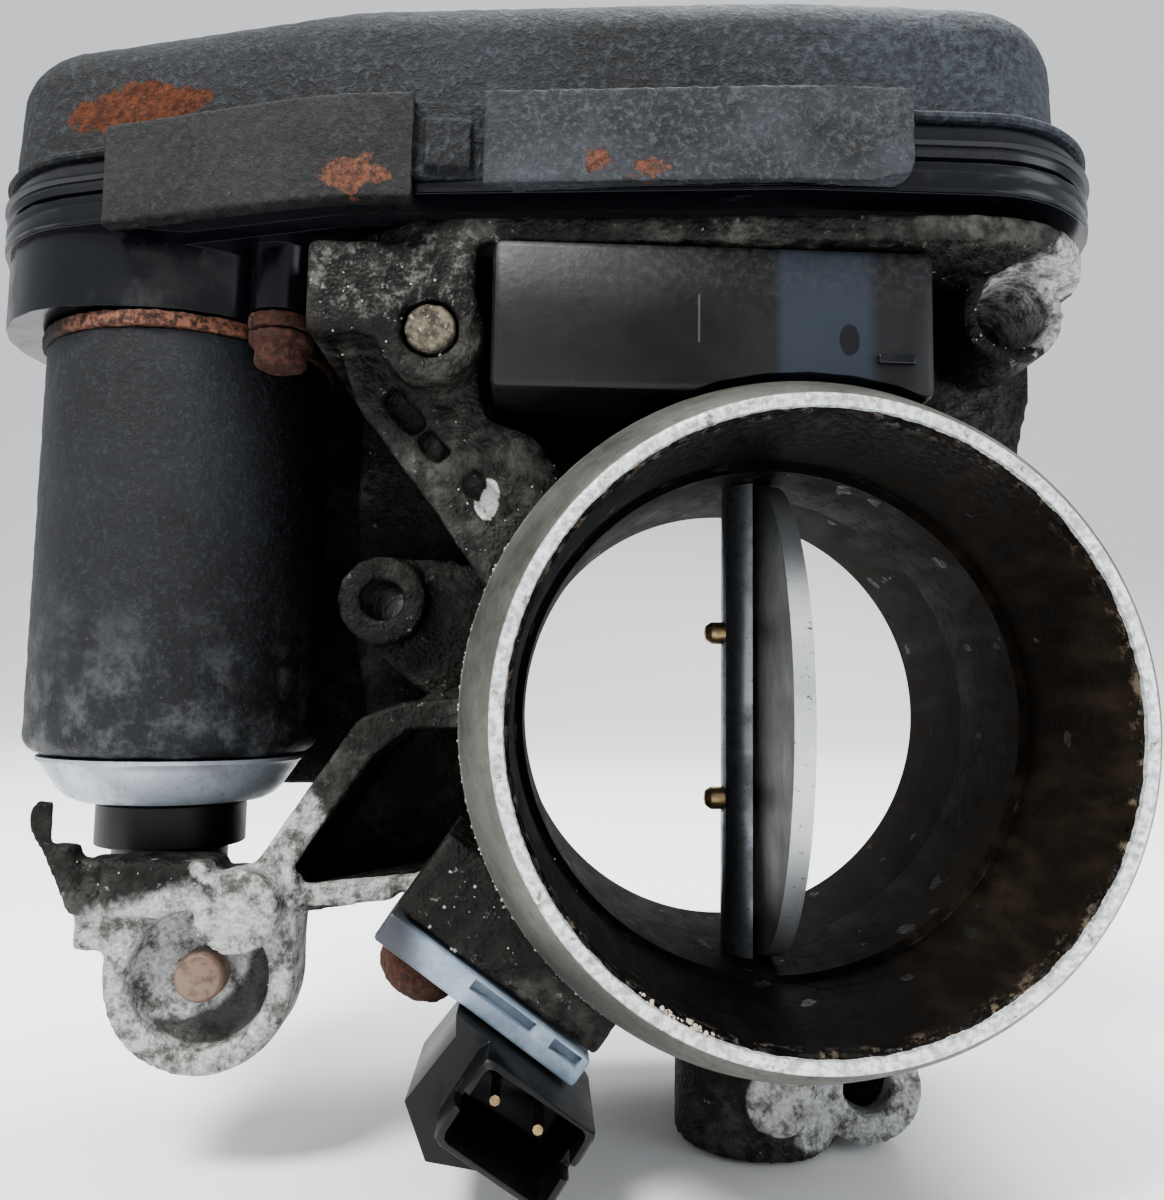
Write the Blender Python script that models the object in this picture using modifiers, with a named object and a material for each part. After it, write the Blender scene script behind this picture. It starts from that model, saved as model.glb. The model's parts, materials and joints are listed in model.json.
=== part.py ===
"""Throttle body of a diesel engine: cast housing, spring-loaded plate, geared electric drive and air sensor.

The bore runs along Y with its inlet at -Y, and the drive sits on top at +Z. The origin is on the bore's
axis in the rear mounting face. The plate is modelled open, where its spring holds it.
"""

import math

import bmesh
import bpy
from mathutils import Matrix, Vector

MM = 0.001
GAP = 0.3 * MM

# The bore
BORE_LENGTH = 66.0 * MM
BORE_RADIUS = 32.0 * MM
MOUTH_RADIUS = 33.0 * MM
LIP_RADIUS = 34.5 * MM
BEAD_RADIUS = 38.5 * MM
TUBE_RADIUS = 35.5 * MM
FLANGE_RADIUS = 42.0 * MM
FLANGE_DEPTH = 9.0 * MM
TUBE_SIDES = 48

# The plate and its shaft
SHAFT = Vector((0.0, -29.0 * MM, 0.0))
SHAFT_RADIUS = 4.5 * MM
SHAFT_FLAT = 0.6 * MM
PLATE_RADIUS = 31.6 * MM
PLATE_THICKNESS = 2.4 * MM
PLATE_SWING = math.radians(3.5)
SCREW_HEIGHT = 11.4 * MM
SHAFT_TOP = 64.6 * MM
SHAFT_BOTTOM = -46.5 * MM

# The gear train: module 1, on one straight line from the shaft to the motor
MODULE = 1.0 * MM
SECTOR_TEETH = 55
SMALL_TEETH = 43
BIG_TEETH = 49
PINION_TEETH = 12
GEAR_LINE = math.radians(178.9)
SECTOR_TRAVEL = math.radians(84.0)
BACKLASH = 0.4 * MM
GEAR_DIRECTION = Vector((math.cos(GEAR_LINE), math.sin(GEAR_LINE), 0.0))
INTERMEDIATE = SHAFT + GEAR_DIRECTION * (SECTOR_TEETH + SMALL_TEETH) / 2 * MODULE
MOTOR = INTERMEDIATE + GEAR_DIRECTION * (BIG_TEETH + PINION_TEETH) / 2 * MODULE
SECTOR_LOW = 61.8 * MM
SECTOR_HIGH = 64.4 * MM
HUB_HIGH = 65.6 * MM
BIG_LOW = 65.0 * MM
BIG_HIGH = 67.4 * MM

# Heights of the drive's casing
DECK_LOW = 54.4 * MM
DECK_HIGH = 57.4 * MM
TRAY_LOW = 59.3 * MM
TRAY_FLOOR = 61.1 * MM
TRAY_RIM = 62.8 * MM
TRAY_HIGH = 67.6 * MM
COVER_LOW = 67.9 * MM
COVER_STEP = 69.0 * MM
COVER_HIGH = 87.4 * MM

# The drive's outline, as circles (x, y, radius) with straight tangents between them, anticlockwise
OUTLINE = (
    (20.0 * MM, -44.0 * MM, 18.5 * MM),
    (20.0 * MM, -13.0 * MM, 17.0 * MM),
    (SHAFT.x, SHAFT.y, 33.4 * MM),
    (INTERMEDIATE.x, INTERMEDIATE.y, 29.7 * MM),
    (MOTOR.x - 4.5 * MM, MOTOR.y, 20.2 * MM),
    (INTERMEDIATE.x, INTERMEDIATE.y, 29.7 * MM),
    (SHAFT.x, SHAFT.y, 33.4 * MM),
)
# The dome over it: a ledge inside the outline all round, except at the motor's end, where it is flush
LEDGE = 3.4 * MM
DOME_END = (OUTLINE[4][0] - LEDGE + 0.3 * MM, MOTOR.y, OUTLINE[4][2] - LEDGE)
DOME = tuple(
    DOME_END if place == 4 else (x, y, radius - LEDGE) for place, (x, y, radius) in enumerate(OUTLINE)
)
DECK_OUTLINE = (
    OUTLINE[0],
    OUTLINE[1],
    (-38.0 * MM, -25.0 * MM, 21.5 * MM),
    (-38.0 * MM, -36.0 * MM, 21.5 * MM),
)
ARC_STEP = math.radians(15.0)

# The motor
MOTOR_RADIUS = 18.6 * MM
MOTOR_LOW = -6.0 * MM
MOTOR_HIGH = 46.9 * MM
CAP_RADIUS = 16.4 * MM
NOSE_RADIUS = 9.6 * MM
COLLAR_LOW = 49.4 * MM
COLLAR_RADIUS = 19.2 * MM
MOTOR_EAR = Vector((16.3 * MM, -16.3 * MM, 0.0))

# Places on the casting
FRONT_EAR = Vector((28.2 * MM, -50.0 * MM, 50.6 * MM))
SIDE_LUG = Vector((-50.8 * MM, -36.0 * MM, 14.6 * MM))
LOWER_EAR = Vector((13.5 * MM, -36.0 * MM, -47.5 * MM))
BOSS_BOLT = Vector((-43.2 * MM, -55.0 * MM, 44.5 * MM))
BRACKET = Vector((-69.5 * MM, -45.0 * MM, -31.5 * MM))
BRACKET_RADIUS = 11.3 * MM

# The air sensor: its flange lies along a slope under the bore
SENSOR = Vector((-34.3 * MM, -45.0 * MM, -29.5 * MM))
SENSOR_SLOPE = math.radians(35.5)
SENSOR_THICKNESS = 3.6 * MM
SENSOR_SCREW = -7.4 * MM
PROBE = 3.0 * MM
SOCKET = Vector((-31.4 * MM, -52.0 * MM, -42.7 * MM))
SOCKET_TURN = math.radians(33.0)

AXES = {
    "X": Matrix.Rotation(math.pi / 2, 4, "Y"),
    "Y": Matrix.Rotation(-math.pi / 2, 4, "X"),
    "Z": Matrix.Identity(4),
}


# Scene and materials


def clear_scene():
    for obj in list(bpy.data.objects):
        bpy.data.objects.remove(obj, do_unlink=True)


def new_collection(name):
    collection = bpy.data.collections.new(name)
    bpy.context.scene.collection.children.link(collection)
    return collection


def material(name, colour, roughness, metallic=0.0):
    made = bpy.data.materials.new(name)
    made.use_nodes = True
    shader = made.node_tree.nodes["Principled BSDF"]
    shader.inputs["Base Color"].default_value = (*colour, 1.0)
    shader.inputs["Roughness"].default_value = roughness
    shader.inputs["Metallic"].default_value = metallic
    return made


clear_scene()
PARTS = new_collection("throttle_body")
CUTTERS = new_collection("cutters")
CAST = material("cast_aluminium", (0.20, 0.19, 0.17), 0.6, 0.7)
MACHINED = material("machined_aluminium", (0.62, 0.62, 0.60), 0.35, 1.0)
COATED = material("coated_steel", (0.045, 0.052, 0.062), 0.7)
STRAP = material("strap_steel", (0.075, 0.085, 0.095), 0.65)
GLOSS = material("black_moulding", (0.010, 0.012, 0.016), 0.3)
MATT = material("black_plastic", (0.020, 0.022, 0.024), 0.55)
RUBBER = material("seal_rubber", (0.012, 0.012, 0.013), 0.5)
STEEL = material("bright_steel", (0.50, 0.52, 0.55), 0.3, 1.0)
DARK_STEEL = material("dark_steel", (0.14, 0.14, 0.15), 0.45, 1.0)
CAN = material("motor_coating", (0.035, 0.038, 0.042), 0.55)
RUST = material("rusty_steel", (0.22, 0.07, 0.03), 0.85)
BRASS = material("brass", (0.60, 0.42, 0.20), 0.35, 1.0)
COPPER = material("copper", (0.50, 0.24, 0.13), 0.4, 1.0)
NYLON = material("gear_nylon", (0.62, 0.60, 0.52), 0.5)
PALE = material("pale_plastic", (0.32, 0.38, 0.44), 0.45)
MAGNET = material("ferrite", (0.06, 0.06, 0.065), 0.6)


# Making solids


def link(name, mesh, collection):
    obj = bpy.data.objects.new(name, mesh)
    collection.objects.link(obj)
    if collection == CUTTERS:
        obj.hide_render = True
        obj.display_type = "WIRE"
    return obj


def bake(obj, outwards=True):
    """Replaces a curve, or an object with modifiers, by its final mesh in world space.

    A Boolean's result keeps its normals, because those of a hollow face inwards.
    """
    graph = bpy.context.evaluated_depsgraph_get()
    mesh = bpy.data.meshes.new_from_object(obj.evaluated_get(graph))
    mesh.transform(obj.matrix_world)
    shape = bmesh.new()
    shape.from_mesh(mesh)
    bmesh.ops.remove_doubles(shape, verts=shape.verts, dist=1e-6)
    if outwards:
        bmesh.ops.recalc_face_normals(shape, faces=shape.faces)
    shape.to_mesh(mesh)
    shape.free()
    name = obj.name
    bpy.data.objects.remove(obj, do_unlink=True)
    return link(name, mesh, CUTTERS)


def bar(start, end, radius, sides=24):
    """A cylinder from one point to another."""
    start = Vector(start)
    run = Vector(end) - start
    place = Matrix.Translation(start + run / 2) @ run.to_track_quat("Z", "Y").to_matrix().to_4x4()
    shape = bmesh.new()
    bmesh.ops.create_cone(
        shape,
        cap_ends=True,
        segments=sides,
        radius1=radius,
        radius2=radius,
        depth=run.length,
        matrix=place,
    )
    mesh = bpy.data.meshes.new("bar")
    shape.to_mesh(mesh)
    shape.free()
    return link("bar", mesh, CUTTERS)


def block(low, high, rounding=0.0, turn=None):
    """A box between two corners, with rounded edges, turned by a matrix about its centre."""
    low = Vector(low)
    high = Vector(high)
    size = high - low
    shape = bmesh.new()
    bmesh.ops.create_cube(shape, size=1.0, matrix=Matrix.Diagonal((*size, 1.0)))
    if rounding:
        bmesh.ops.bevel(
            shape, geom=shape.edges[:], offset=rounding, segments=2, profile=0.5, affect="EDGES"
        )
    mesh = bpy.data.meshes.new("block")
    shape.to_mesh(mesh)
    shape.free()
    if turn is not None:
        mesh.transform(turn)
    mesh.transform(Matrix.Translation((low + high) / 2))
    return link("block", mesh, CUTTERS)


def turned(profile, place, sides=40, hollow=False, name="turned"):
    """A body of revolution about the Z axis of a place; its profile of (radius, height) runs downwards."""
    mesh = bpy.data.meshes.new(name)
    points = [(radius, 0.0, height) for radius, height in profile]
    edges = [(i, i + 1) for i in range(len(points) - 1)]
    if hollow:
        edges.append((len(points) - 1, 0))
    mesh.from_pydata(points, edges, [])
    obj = link(name, mesh, CUTTERS)
    screw = obj.modifiers.new("Screw", "SCREW")
    screw.steps = sides
    screw.render_steps = sides
    screw.use_merge_vertices = True
    screw.merge_threshold = 0.00001
    obj.matrix_world = place
    return bake(obj)


def ring(centre, axis, outer, inner, low, high, sides=32, name="ring"):
    """A plain tube about an axis, between two distances along it from its centre."""
    profile = [(outer, high), (outer, low), (inner, low), (inner, high)]
    return turned(profile, Matrix.Translation(centre) @ AXES[axis], sides, True, name)


def plate(outlines, low, high, place=None, name="plate"):
    """A flat piece between two heights: the first outline is its rim and the others are its holes."""
    curve = bpy.data.curves.new(name, "CURVE")
    curve.dimensions = "2D"
    curve.fill_mode = "BOTH"
    curve.extrude = (high - low) / 2
    for outline in outlines:
        spline = curve.splines.new("POLY")
        spline.points.add(len(outline) - 1)
        for point, (x, y) in zip(spline.points, outline):
            point.co = (x, y, 0.0, 1.0)
        spline.use_cyclic_u = True
    obj = link(name, curve, CUTTERS)
    obj.matrix_world = (place or Matrix.Identity(4)) @ Matrix.Translation((0, 0, (low + high) / 2))
    return bake(obj)


def upright(points, low, high, name="upright"):
    """A plate whose outline is given as (x, z), between two depths along Y."""
    place = Matrix.Rotation(math.pi / 2, 4, "X")
    return plate([points], -high, -low, place, name)


def combine(target, tools, operation):
    for tool in tools:
        modifier = target.modifiers.new(operation, "BOOLEAN")
        modifier.operation = operation
        modifier.object = tool
        target = bake(target, outwards=False)
        bpy.data.objects.remove(tool, do_unlink=True)
    return target


def join(target, *tools):
    return combine(target, tools, "UNION")


def cut(target, *tools):
    return combine(target, tools, "DIFFERENCE")


def common(target, *tools):
    return combine(target, tools, "INTERSECT")


def piece(name, obj, finish, origin=(0.0, 0.0, 0.0), angle=math.radians(35.0)):
    """Makes a finished solid a named part, with its origin where its joint is."""
    mesh = obj.data
    bpy.data.objects.remove(obj, do_unlink=True)
    mesh.transform(Matrix.Translation(-Vector(origin)))
    mesh.name = name
    mesh.materials.clear()
    mesh.materials.append(finish)
    mesh.shade_smooth()
    mesh.set_sharp_from_angle(angle=angle)
    part = link(name, mesh, PARTS)
    part.location = origin
    return part


# Outlines


def arc(centre, radius, start, end):
    """Points of an arc, both ends included, running anticlockwise."""
    steps = max(2, math.ceil((end - start) / ARC_STEP))
    angles = [start + (end - start) * i / steps for i in range(steps + 1)]
    return [(centre[0] + radius * math.cos(a), centre[1] + radius * math.sin(a)) for a in angles]


def circle(x, y, radius, sides=24):
    angles = [math.tau * i / sides for i in range(sides)]
    return [(x + radius * math.cos(a), y + radius * math.sin(a)) for a in angles]


def hull(circles, inset=0.0):
    """The outline round circles given anticlockwise, moved inwards by an inset."""
    normals = []
    for (x0, y0, r0), (x1, y1, r1) in zip(circles, circles[1:] + circles[:1]):
        reach = math.hypot(x1 - x0, y1 - y0)
        normals.append(math.atan2(y1 - y0, x1 - x0) - math.acos((r0 - r1) / reach))
    points = []
    for i, (x, y, radius) in enumerate(circles):
        start = normals[i - 1]
        end = start + (normals[i] - start) % math.tau
        points += arc((x, y), radius - inset, start, end)
    return points


def stacked(circles, levels, name="stacked"):
    """A solid of one outline whose inset changes with height; levels are (inset, height), lowest first."""
    shape = bmesh.new()
    loops = []
    for inset, height in levels:
        loops.append([shape.verts.new((x, y, height)) for x, y in hull(circles, inset)])
    for lower, upper in zip(loops, loops[1:]):
        for i in range(len(lower)):
            shape.faces.new((lower[i - 1], lower[i], upper[i], upper[i - 1]))
    shape.faces.new(loops[-1])
    shape.faces.new(reversed(loops[0]))
    mesh = bpy.data.meshes.new(name)
    shape.to_mesh(mesh)
    shape.free()
    return link(name, mesh, CUTTERS)


def involute(angle):
    return math.tan(angle) - angle


def gear_outline(centre, teeth, phase, count=None):
    """A spur gear's outline with involute flanks; one tooth points along the phase angle.

    With a count it is only that many teeth, centred on the phase, for a sector's rim.
    """
    pitch = teeth * MODULE / 2
    base = pitch * math.cos(math.radians(20.0))
    radii = [pitch - 1.2 * MODULE, pitch, pitch + 0.9 * MODULE]
    if base > radii[0]:
        radii.insert(1, base)
    half = math.pi / (2 * teeth) - BACKLASH / (4 * pitch)
    flank = []
    for radius in radii:
        pressure = math.acos(min(1.0, base / max(radius, base)))
        flank.append((radius, half + involute(math.radians(20.0)) - involute(pressure)))
    shown = teeth if count is None else count
    first = 0 if count is None else -(count - 1) / 2
    points = []
    for i in range(shown):
        middle = phase + math.tau * (first + i) / teeth
        for radius, lean in flank:
            points.append((radius, middle - lean))
        for radius, lean in reversed(flank):
            points.append((radius, middle + lean))
    return [(centre.x + r * math.cos(a), centre.y + r * math.sin(a)) for r, a in points]


# The casting


def bore_surface():
    """The machined inside of the bore, as a solid that reaches past both ends."""
    profile = [
        (0.0, BORE_LENGTH + 1 * MM),
        (33.5 * MM, BORE_LENGTH + 1 * MM),
        (33.5 * MM, BORE_LENGTH),
        (MOUTH_RADIUS, BORE_LENGTH - 1.0 * MM),
        (MOUTH_RADIUS, 42.0 * MM),
        (BORE_RADIUS, 41.0 * MM),
        (BORE_RADIUS, 23.4 * MM),
        (MOUTH_RADIUS, 22.4 * MM),
        (MOUTH_RADIUS, -1 * MM),
        (0.0, -1 * MM),
    ]
    return turned(profile, Matrix.Rotation(math.pi / 2, 4, "X"), TUBE_SIDES, name="bore_surface")


def bore_tube():
    """The outside of the bore with its lip, bead, undercut and rear flange."""
    profile = [
        (0.0, BORE_LENGTH),
        (LIP_RADIUS, BORE_LENGTH),
        (35.6 * MM, BORE_LENGTH - 1.2 * MM),
        (BEAD_RADIUS, 58.0 * MM),
        (BEAD_RADIUS, 56.2 * MM),
        (37.6 * MM, 55.0 * MM),
        (TUBE_RADIUS, 53.0 * MM),
        (TUBE_RADIUS, FLANGE_DEPTH),
        (FLANGE_RADIUS, FLANGE_DEPTH),
        (FLANGE_RADIUS, 0.0),
        (0.0, 0.0),
    ]
    return turned(profile, Matrix.Rotation(math.pi / 2, 4, "X"), TUBE_SIDES, name="bore_tube")


def drilled(centre, radius, depth, sides=20):
    """A cutter for a hole along Y that starts in front of a point and reaches a depth behind it."""
    front = centre - Vector((0, 3 * MM, 0))
    return bar(front, centre + Vector((0, depth, 0)), radius, sides=sides)


def mounting_bosses():
    """The bosses along Y that the three mounting bolts pass through."""
    front = bar(FRONT_EAR, (FRONT_EAR.x, 0, FRONT_EAR.z), 6.5 * MM, sides=28)
    side = bar(SIDE_LUG, (SIDE_LUG.x, 0, SIDE_LUG.z), 5.9 * MM, sides=28)
    lower = bar(LOWER_EAR, (LOWER_EAR.x, 0, LOWER_EAR.z), 7.0 * MM, sides=28)
    return [front, side, lower]


def shaft_bosses():
    x, y, _ = SHAFT
    upper = bar((x, y, 30 * MM), (x, y, 41.0 * MM), 10.5 * MM, sides=32)
    lower = bar((x, y, -30 * MM), (x, y, -55.0 * MM), 10.6 * MM, sides=32)
    pad = bar((x + 1 * MM, y - 11.6 * MM, -47.3 * MM), (x + 1 * MM, y, -47.3 * MM), 4.4 * MM)
    return [upper, lower, pad]


def rear_wall():
    """The upright web that joins bore, deck and motor bracket, and the screen behind the motor."""
    points = [
        (-57 * MM, DECK_LOW + 1 * MM),
        (-57 * MM, 12 * MM),
        (-54 * MM, -4 * MM),
        (-62 * MM, -17 * MM),
        (-62 * MM, -27 * MM),
        (-34 * MM, -24 * MM),
        (-10 * MM, -36 * MM),
        (24 * MM, -30 * MM),
        (35 * MM, 30 * MM),
        (37 * MM, DECK_LOW + 1 * MM),
    ]
    screen = [
        (-73 * MM, DECK_LOW + 1 * MM),
        (-73 * MM, -12 * MM),
        (-30 * MM, -12 * MM),
        (-30 * MM, DECK_LOW + 1 * MM),
    ]
    return [upright(points, -22 * MM, -17 * MM), upright(screen, -7.9 * MM, -4 * MM)]


def front_web():
    """The web between the bore and the front ear, and the rib from the ear up to the deck."""
    web = [
        (22 * MM, 26 * MM),
        (33 * MM, 30 * MM),
        (36 * MM, 44 * MM),
        (36 * MM, DECK_LOW + 1 * MM),
        (20 * MM, DECK_LOW + 1 * MM),
    ]
    head = block((23.5 * MM, -48 * MM, 50.6 * MM), (33.6 * MM, -20 * MM, 55.4 * MM))
    return [upright(web, -38 * MM, -20 * MM), head]


def boss_block():
    """The block under the cover that holds the housing bolt, with its round boss and the strut below it."""
    body = block((-57.4 * MM, -56.4 * MM, 43.5 * MM), (-38.0 * MM, -24 * MM, 54.5 * MM), 0.8 * MM)
    boss = bar(BOSS_BOLT - Vector((0, 0.6 * MM, 0)), BOSS_BOLT + Vector((0, 22 * MM, 0)), 6.3 * MM)
    strut = [
        (-55 * MM, 45 * MM),
        (-52.5 * MM, 37 * MM),
        (-44 * MM, 26 * MM),
        (-34 * MM, 12 * MM),
        (-24 * MM, 18 * MM),
        (-26 * MM, 27 * MM),
        (-31 * MM, 33.5 * MM),
        (-37 * MM, 35.8 * MM),
        (-38.6 * MM, 45 * MM),
    ]
    return [body, boss, upright(strut, -50 * MM, -44 * MM)]


def strut_pockets():
    """The shallow recesses cast into the strut."""
    turn = Matrix.Rotation(math.radians(48.0), 4, "Y")
    pockets = []
    for x, z, length in ((-46.6, 36.2, 6.0), (-43.0, 32.0, 4.0), (-36.6, 26.0, 7.0)):
        centre = Vector((x * MM, -49.6 * MM, z * MM))
        half = Vector((length / 2 * MM, 1.8 * MM, 1.3 * MM))
        pockets.append(block(centre - half, centre + half, turn=turn))
    return pockets


def side_plate():
    """The cast plate from the bore out to the side lug."""
    points = [
        (-51 * MM, 20.4 * MM),
        (-56.4 * MM, 16 * MM),
        (-54 * MM, 9.5 * MM),
        (-46 * MM, 3 * MM),
        (-33 * MM, -4 * MM),
        (-30 * MM, 18 * MM),
        (-42 * MM, 20.5 * MM),
    ]
    return upright(points, -33 * MM, -21 * MM)


def motor_bracket():
    """The cradle under the motor's nose, its round ear, and the ribs back to the bore."""
    x, y, z = BRACKET
    ear = bar((x, y, z), (x, y + 7 * MM, z), BRACKET_RADIUS, sides=32)
    top = block((x - 11.3 * MM, y, z), (x + 11.3 * MM, y + 7 * MM, z + 12.2 * MM), 0.6 * MM)
    cradle = block((-84 * MM, -40 * MM, -25.6 * MM), (-59 * MM, -17 * MM, -22.6 * MM), 0.6 * MM)
    cheek = block((-84.3 * MM, y, -28.5 * MM), (-76 * MM, y + 7 * MM, -18.0 * MM), 0.6 * MM)
    saddle = block((-80.8 * MM, y - 2 * MM, -24.2 * MM), (-68.1 * MM, y + 7 * MM, -17.6 * MM), 0.8 * MM)
    hook = upright(
        [
            (-84.3 * MM, -21.0 * MM),
            (-84.3 * MM, -16.5 * MM),
            (-85.0 * MM, -13.2 * MM),
            (-86.2 * MM, -10.8 * MM),
            (-88.4 * MM, -10.6 * MM),
            (-89.6 * MM, -12.2 * MM),
            (-89.2 * MM, -14.6 * MM),
            (-87.6 * MM, -17.0 * MM),
            (-84.3 * MM, -24.0 * MM),
            (-82.0 * MM, -24.0 * MM),
            (-82.0 * MM, -21.0 * MM),
        ],
        -46.5 * MM,
        -42.6 * MM,
    )
    link_plate = block((-80 * MM, -40.5 * MM, -25.6 * MM), (-60 * MM, -37 * MM, -22.6 * MM))
    steep = [
        (-61.5 * MM, -22 * MM),
        (-64.5 * MM, -19.5 * MM),
        (-55.5 * MM, -6 * MM),
        (-52 * MM, -0.8 * MM),
        (-46.5 * MM, 1.4 * MM),
        (-34 * MM, 2.2 * MM),
        (-34 * MM, -1.4 * MM),
        (-46 * MM, -2.2 * MM),
        (-50 * MM, -5.4 * MM),
    ]
    flat = [
        (-62 * MM, -24.6 * MM),
        (-62 * MM, -21.4 * MM),
        (-36 * MM, -18.4 * MM),
        (-28 * MM, -13 * MM),
        (-26 * MM, -22 * MM),
        (-36 * MM, -20.9 * MM),
    ]
    pad = bar((-64.6 * MM, y - 2.4 * MM, -23.4 * MM), (-64.6 * MM, y + 2 * MM, -23.4 * MM), 5.0 * MM)
    ribs = [upright(steep, -44 * MM, -17.5 * MM), upright(flat, -44 * MM, -17.5 * MM)]
    return [ear, top, cradle, cheek, saddle, hook, link_plate, pad, *ribs]


def sensor_pad():
    """The flat pad under the bore that the sensor's flange sits on."""
    centre = SENSOR + Vector((math.sin(SENSOR_SLOPE), 0, math.cos(SENSOR_SLOPE))) * 5.3 * MM
    half = Vector((13.8 * MM, 8.5 * MM, 5.0 * MM))
    return block(centre - half, centre + half, turn=Matrix.Rotation(SENSOR_SLOPE, 4, "Y"))


def sensor_line(length, reach=0.0):
    """A point on the line that runs from the sensor's place out through its flange, square to it."""
    away = Vector((-math.sin(SENSOR_SLOPE), 0, -math.cos(SENSOR_SLOPE)))
    along = Vector((math.cos(SENSOR_SLOPE), 0, -math.sin(SENSOR_SLOPE)))
    return SENSOR + away * length + along * reach


def throttle_housing():
    x, y, _ = SHAFT
    body = bore_tube()
    deck = plate([hull(DECK_OUTLINE, 0.8 * MM)], DECK_LOW, DECK_HIGH, name="deck")
    body = join(body, *rear_wall(), deck, *mounting_bosses(), *shaft_bosses(), *front_web())
    pin_boss = bar((INTERMEDIATE.x, INTERMEDIATE.y, 48 * MM), (*INTERMEDIATE.xy, 56 * MM), 6 * MM)
    body = join(body, *boss_block(), side_plate(), sensor_pad(), *motor_bracket(), pin_boss)
    body = cut(body, bore_surface(), *strut_pockets())
    shaft_hole = bar((x, y, -60 * MM), (x, y, 60 * MM), SHAFT_RADIUS + 0.5 * MM, sides=32)
    upper_seat = bar((x, y, 34.5 * MM), (x, y, 60 * MM), 8.3 * MM, sides=32)
    lower_seat = bar((x, y, -60 * MM), (x, y, -38.5 * MM), 8.3 * MM, sides=32)
    pin_hole = bar((*INTERMEDIATE.xy, 49.5 * MM), (*INTERMEDIATE.xy, 60 * MM), 2.8 * MM, sides=20)
    body = cut(body, shaft_hole, upper_seat, lower_seat, pin_hole)
    front_hole = drilled(FRONT_EAR, 4.5 * MM, 60 * MM)
    side_hole = drilled(SIDE_LUG, 2.8 * MM, 60 * MM)
    lower_hole = drilled(LOWER_EAR, 3.3 * MM, 60 * MM)
    bolt_hole = drilled(BOSS_BOLT, 3.4 * MM, 15 * MM)
    body = cut(body, front_hole, side_hole, lower_hole, bolt_hole)
    recess = bar(BRACKET - Vector((0, 2 * MM, 0)), BRACKET + Vector((0, 3.5 * MM, 0)), 8.3 * MM)
    rivet_hole = drilled(BRACKET, 1.9 * MM, 12 * MM, 16)
    probe_hole = bar(sensor_line(2 * MM, PROBE), sensor_line(-9.6 * MM, PROBE), 5.6 * MM, sides=24)
    screw_top = sensor_line(2 * MM, SENSOR_SCREW)
    screw_hole = bar(screw_top, sensor_line(-9 * MM, SENSOR_SCREW), 1.9 * MM, sides=12)
    body = cut(body, recess, rivet_hole, probe_hole, screw_hole)
    groove = ring((0, 0, 0), "Y", 39.6 * MM, 36.2 * MM, -2.2 * MM, 1 * MM, 48)
    nose_room = bar((*MOTOR.xy, -21.8 * MM), (*MOTOR.xy, 0), NOSE_RADIUS + 0.6 * MM, sides=32)
    can_room = bar((*MOTOR.xy, -16 * MM), (*MOTOR.xy, 53 * MM), MOTOR_RADIUS + 1.4 * MM, sides=40)
    spring_room = bar((*SHAFT.xy, 42 * MM), (*SHAFT.xy, 53.2 * MM), 12.6 * MM, sides=32)
    body = cut(body, groove, nose_room, can_room, spring_room, flange_space())
    piece("throttle_housing", body, CAST)


# The casing of the drive


def gear_tray():
    """The moulded tub that holds the gears, with the collar and screw posts that the motor hangs from."""
    tub = stacked(OUTLINE, [(0, TRAY_LOW), (0, TRAY_RIM), (2 * MM, TRAY_RIM), (2 * MM, TRAY_HIGH)])
    plinth = plate([hull(OUTLINE, 5 * MM)], DECK_HIGH + GAP, TRAY_LOW + 1 * MM)
    collar_ends = ((*MOTOR.xy, COLLAR_RADIUS), (MOTOR.x - 5.0 * MM, MOTOR.y, COLLAR_RADIUS - 0.1 * MM))
    collar = plate([hull(collar_ends)], COLLAR_LOW, TRAY_LOW + 1 * MM)
    posts = []
    for side in (1, -1):
        foot = MOTOR + MOTOR_EAR * side
        posts.append(bar((*foot.xy, COLLAR_LOW), (*foot.xy, TRAY_LOW + 1 * MM), 4.0 * MM, sides=20))
    tub = join(tub, plinth, collar, *posts)
    room = plate([hull(OUTLINE, 4 * MM)], TRAY_FLOOR, 75 * MM)
    shaft_hole = bar((*SHAFT.xy, 50 * MM), (*SHAFT.xy, 70 * MM), 6.2 * MM, sides=24)
    pin_hole = bar((*INTERMEDIATE.xy, 50 * MM), (*INTERMEDIATE.xy, 70 * MM), 2.8 * MM, sides=20)
    motor_hole = bar((*MOTOR.xy, 45 * MM), (*MOTOR.xy, 70 * MM), 10.4 * MM, sides=32)
    motor_room = bar((*MOTOR.xy, 45 * MM), (*MOTOR.xy, 57.5 * MM), 15.0 * MM, sides=32)
    deck_room = plate([hull(DECK_OUTLINE, 0.4 * MM)], 45 * MM, DECK_HIGH + GAP)
    tub = cut(tub, room, shaft_hole, pin_hole, motor_hole, motor_room, deck_room)
    block_room = block((-57.8 * MM, -57 * MM, 45 * MM), (-37.5 * MM, -23 * MM, DECK_HIGH + GAP))
    tub = cut(tub, block_room)
    holes = []
    for side in (1, -1):
        foot = MOTOR + MOTOR_EAR * side
        holes.append(bar((*foot.xy, 45 * MM), (*foot.xy, 57 * MM), 1.9 * MM, sides=12))
    piece("gear_tray", cut(tub, *holes), GLOSS)


def cover_gasket():
    rim = [hull(OUTLINE, 0.3 * MM), hull(OUTLINE, 1.7 * MM)]
    seal = plate(rim, TRAY_RIM + GAP, TRAY_HIGH)
    bead = plate([hull(OUTLINE, -0.3 * MM), hull(OUTLINE, 1.7 * MM)], 64.9 * MM, 65.7 * MM)
    piece("cover_gasket", join(seal, bead), RUBBER)


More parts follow.
